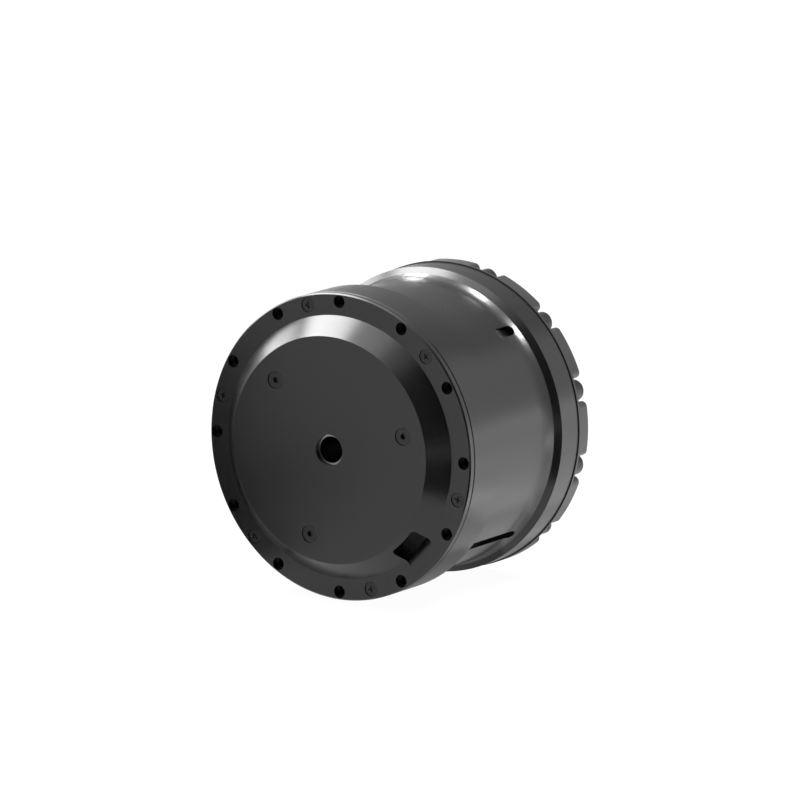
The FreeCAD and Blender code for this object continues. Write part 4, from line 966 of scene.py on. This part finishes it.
@dataclass
class Studio:
    """Floor, world, lamps and camera.

    Attributes:
        target: The point that the lamps look at.
        floor_level: Height of the floor, in the frame.
        ambient: Strength of the grey world that only lights.
        camera_tilt: The camera's turn from straight down, in degrees.
        camera_turn: The camera's turn about the upright axis, in degrees.
        sight: How far the camera sees.
        paper: How much light the floor gives back.
        floor_glow: How much of the floor's own white is shown.
    """

    target: Vector = field(default_factory=lambda: Vector((0.0, 0.0226, 0.0)))
    floor_level: float = -0.0354
    floor_size: float = 6.0
    ambient: float = 0.55
    camera_place: tuple[float, float, float] = (1.0969, -1.6426, 0.4033)
    camera_tilt: float = 78.76
    camera_turn: float = 33.34
    lens: float = 405.0
    sensor: float = 36.0
    sight: float = 20.0
    paper: float = 0.8
    floor_glow: float = 0.97
    softboxes: tuple[Softbox, ...] = (
        Softbox("key_softbox", (-0.57, -0.15, 0.8), 0.46, 0.4, 10.5),
        Softbox("front_softbox", (-0.08, -0.36, 0.93), 0.38, 0.2, 0.75),
        Softbox("left_softbox", (-0.9, 0.14, 0.42), 0.3, 0.34, 2.4),
        Softbox("left_strip", (-0.59, 0.45, 0.67), 0.08, 0.3, 7.5),
        Softbox("middle_strip", (-0.01, 0.29, 0.96), 0.1, 0.36, 10.0),
        Softbox("right_strip", (0.54, 0.2, 0.82), 0.08, 0.36, 9.0),
    )
    # Every card shows only in reflections. The black and dim floor cards are painted shadow of the
    # floor under and round the actuator; the other cards paint dark or bright reflections.
    cards: tuple[Card, ...] = (
        Card("front_right_card", (0.592, -0.44, 0.2), (-0.74, 0.55, -0.25), 1.3, 1.2),
        Card("front_left_card", (-0.2, -0.1, -0.018), ALONG, 0.22, 0.034),
        Card("front_left_floor_card", (-0.185, -0.062, -0.034), UP, 0.244, 0.116),
        Card("back_left_card", (-0.22, 0.16, 0.012), (0.81, -0.58, 0.0), 0.16, 0.096),
        Card("back_left_floor_card", (-0.11, 0.125, -0.034), UP, 0.18, 0.19, 0.1),
        Card("under_rear_floor_card", (-0.002, 0.065, -0.0349), UP, 0.044, 0.066, 0.5),
        Card("front_right_floor_card", (0.18, -0.06, -0.034), UP, 0.24, 0.18),
        Card("back_top_card", (-0.16, 0.7, 0.36), (0.2, -0.8, -0.4), 0.9, 0.7, 0.42),
        Card("front_corner_floor_card", (-0.05, -0.04, -0.0341), UP, 0.028, 0.036, 0.1),
        Card("under_floor_card", (-0.004, 0.016, -0.035), UP, 0.062, 0.03, 0.42),
        Card("flare_floor_card", (0.21, 0.09, -0.0335), UP, 0.18, 0.08, 3.6),
        Card("flare_near_floor_card", (0.087, 0.049, -0.0333), UP, 0.074, 0.026, 2.3),
        Card("right_floor_card", (0.165, 0.22, -0.034), UP, 0.26, 0.36, 1.7),
        Card("rear_right_card", (0.38, 0.38, 0.0), (-0.7, -0.7, 0.0), 0.5, 0.07, 2.0),
    )

    def build(self) -> None:
        """Set up the whole studio."""
        self._world()
        self._floor()
        for lamp in self.softboxes:
            lamp.build(self.target)
        for card in self.cards:
            card.build()
        self._camera()
        bpy.context.scene.view_settings.view_transform = "Standard"
        LOG.info("studio: %d lamps, %d cards", len(self.softboxes), len(self.cards))

    def _seen(self, sheet: ShaderSheet) -> Signal:
        """Tell the rays that show the background from the rest.

        Args:
            sheet: The sheet that asks.

        Returns:
            One for those rays, nought for the rest.
        """
        path = sheet.node("ShaderNodeLightPath")
        camera, glossy, through = (Signal(sheet, path.outputs[f"Is {kind} Ray"])
                                   for kind in ("Camera", "Glossy", "Transmission"))
        total = camera + glossy + through
        return sheet.signal("ShaderNodeMath", {"operation": "MINIMUM"}, {0: total, 1: 1.0})

    def _world(self) -> None:
        """A white backdrop for what is seen, a plain grey for what is lit."""
        world = bpy.data.worlds.new("studio")
        bpy.context.scene.world = world
        sheet = ShaderSheet("studio", world)
        strength = self._seen(sheet) * (1.0 - self.ambient) + self.ambient
        light = sheet.node("ShaderNodeBackground", None, {"Color": WHITE, "Strength": strength})
        sheet.node("ShaderNodeOutputWorld", None, {"Surface": light.outputs[0]})

    def _floor(self) -> None:
        """A white floor that keeps a trace of the actuator's shadow."""
        place = Matrix.Translation((0.0, 0.0, self.floor_level)) @ Matrix.Scale(self.floor_size, 4)
        floor = flat_square("floor", place)
        sheet = ShaderSheet("white_floor")
        glow = sheet.node("ShaderNodeEmission", None, {"Color": WHITE, "Strength": 1.0})
        paper = sheet.node("ShaderNodeBsdfDiffuse", None, {"Color": (self.paper,) * 3})
        glowing = self._seen(sheet) * self.floor_glow
        mix = sheet.node("ShaderNodeMixShader", None,
                         {0: glowing, 1: paper.outputs[0], 2: glow.outputs[0]})
        sheet.node("ShaderNodeOutputMaterial", None, {"Surface": mix.outputs[0]})
        floor.data.materials.append(sheet.holder)

    def _camera(self) -> None:
        """A long lens at three-quarter view, a little above the axis."""
        camera = bpy.data.cameras.new("camera")
        camera.lens = self.lens
        camera.sensor_width = self.sensor
        camera.clip_end = self.sight
        obj = link("camera", camera)
        obj.location = self.camera_place
        obj.rotation_euler = (math.radians(self.camera_tilt), 0.0, math.radians(self.camera_turn))
        bpy.context.scene.camera = obj


def main() -> None:
    """Dress the frame, build the fine pieces and set up the studio."""
    logging.basicConfig(level=logging.INFO, format="%(message)s")
    wardrobe = Wardrobe()
    wardrobe.dress_frame()
    rim_threads = TappedHoles(
        "rim_threads", "housing", "black_anodised", circle=33.15 * MM, first_clock=0.0, count=12,
        major=1.25 * MM, minor=1.03 * MM, pitch=0.45 * MM, start=2.1 * MM, length=5.2 * MM)
    rim_threads.build(wardrobe, "gear_steel")
    output_threads = TappedHoles(
        "output_threads", "output", "black_bearing_steel", circle=18.0 * MM, first_clock=0.0,
        count=8, major=1.49 * MM, minor=1.25 * MM, pitch=0.5 * MM, start=45.8 * MM,
        length=3.2 * MM)
    output_threads.build(wardrobe, "blackened_flange")
    ConnectorPins().build(wardrobe)
    OpenedWindow().build(wardrobe)
    Studio().build()


if __name__ == "__main__":
    main()
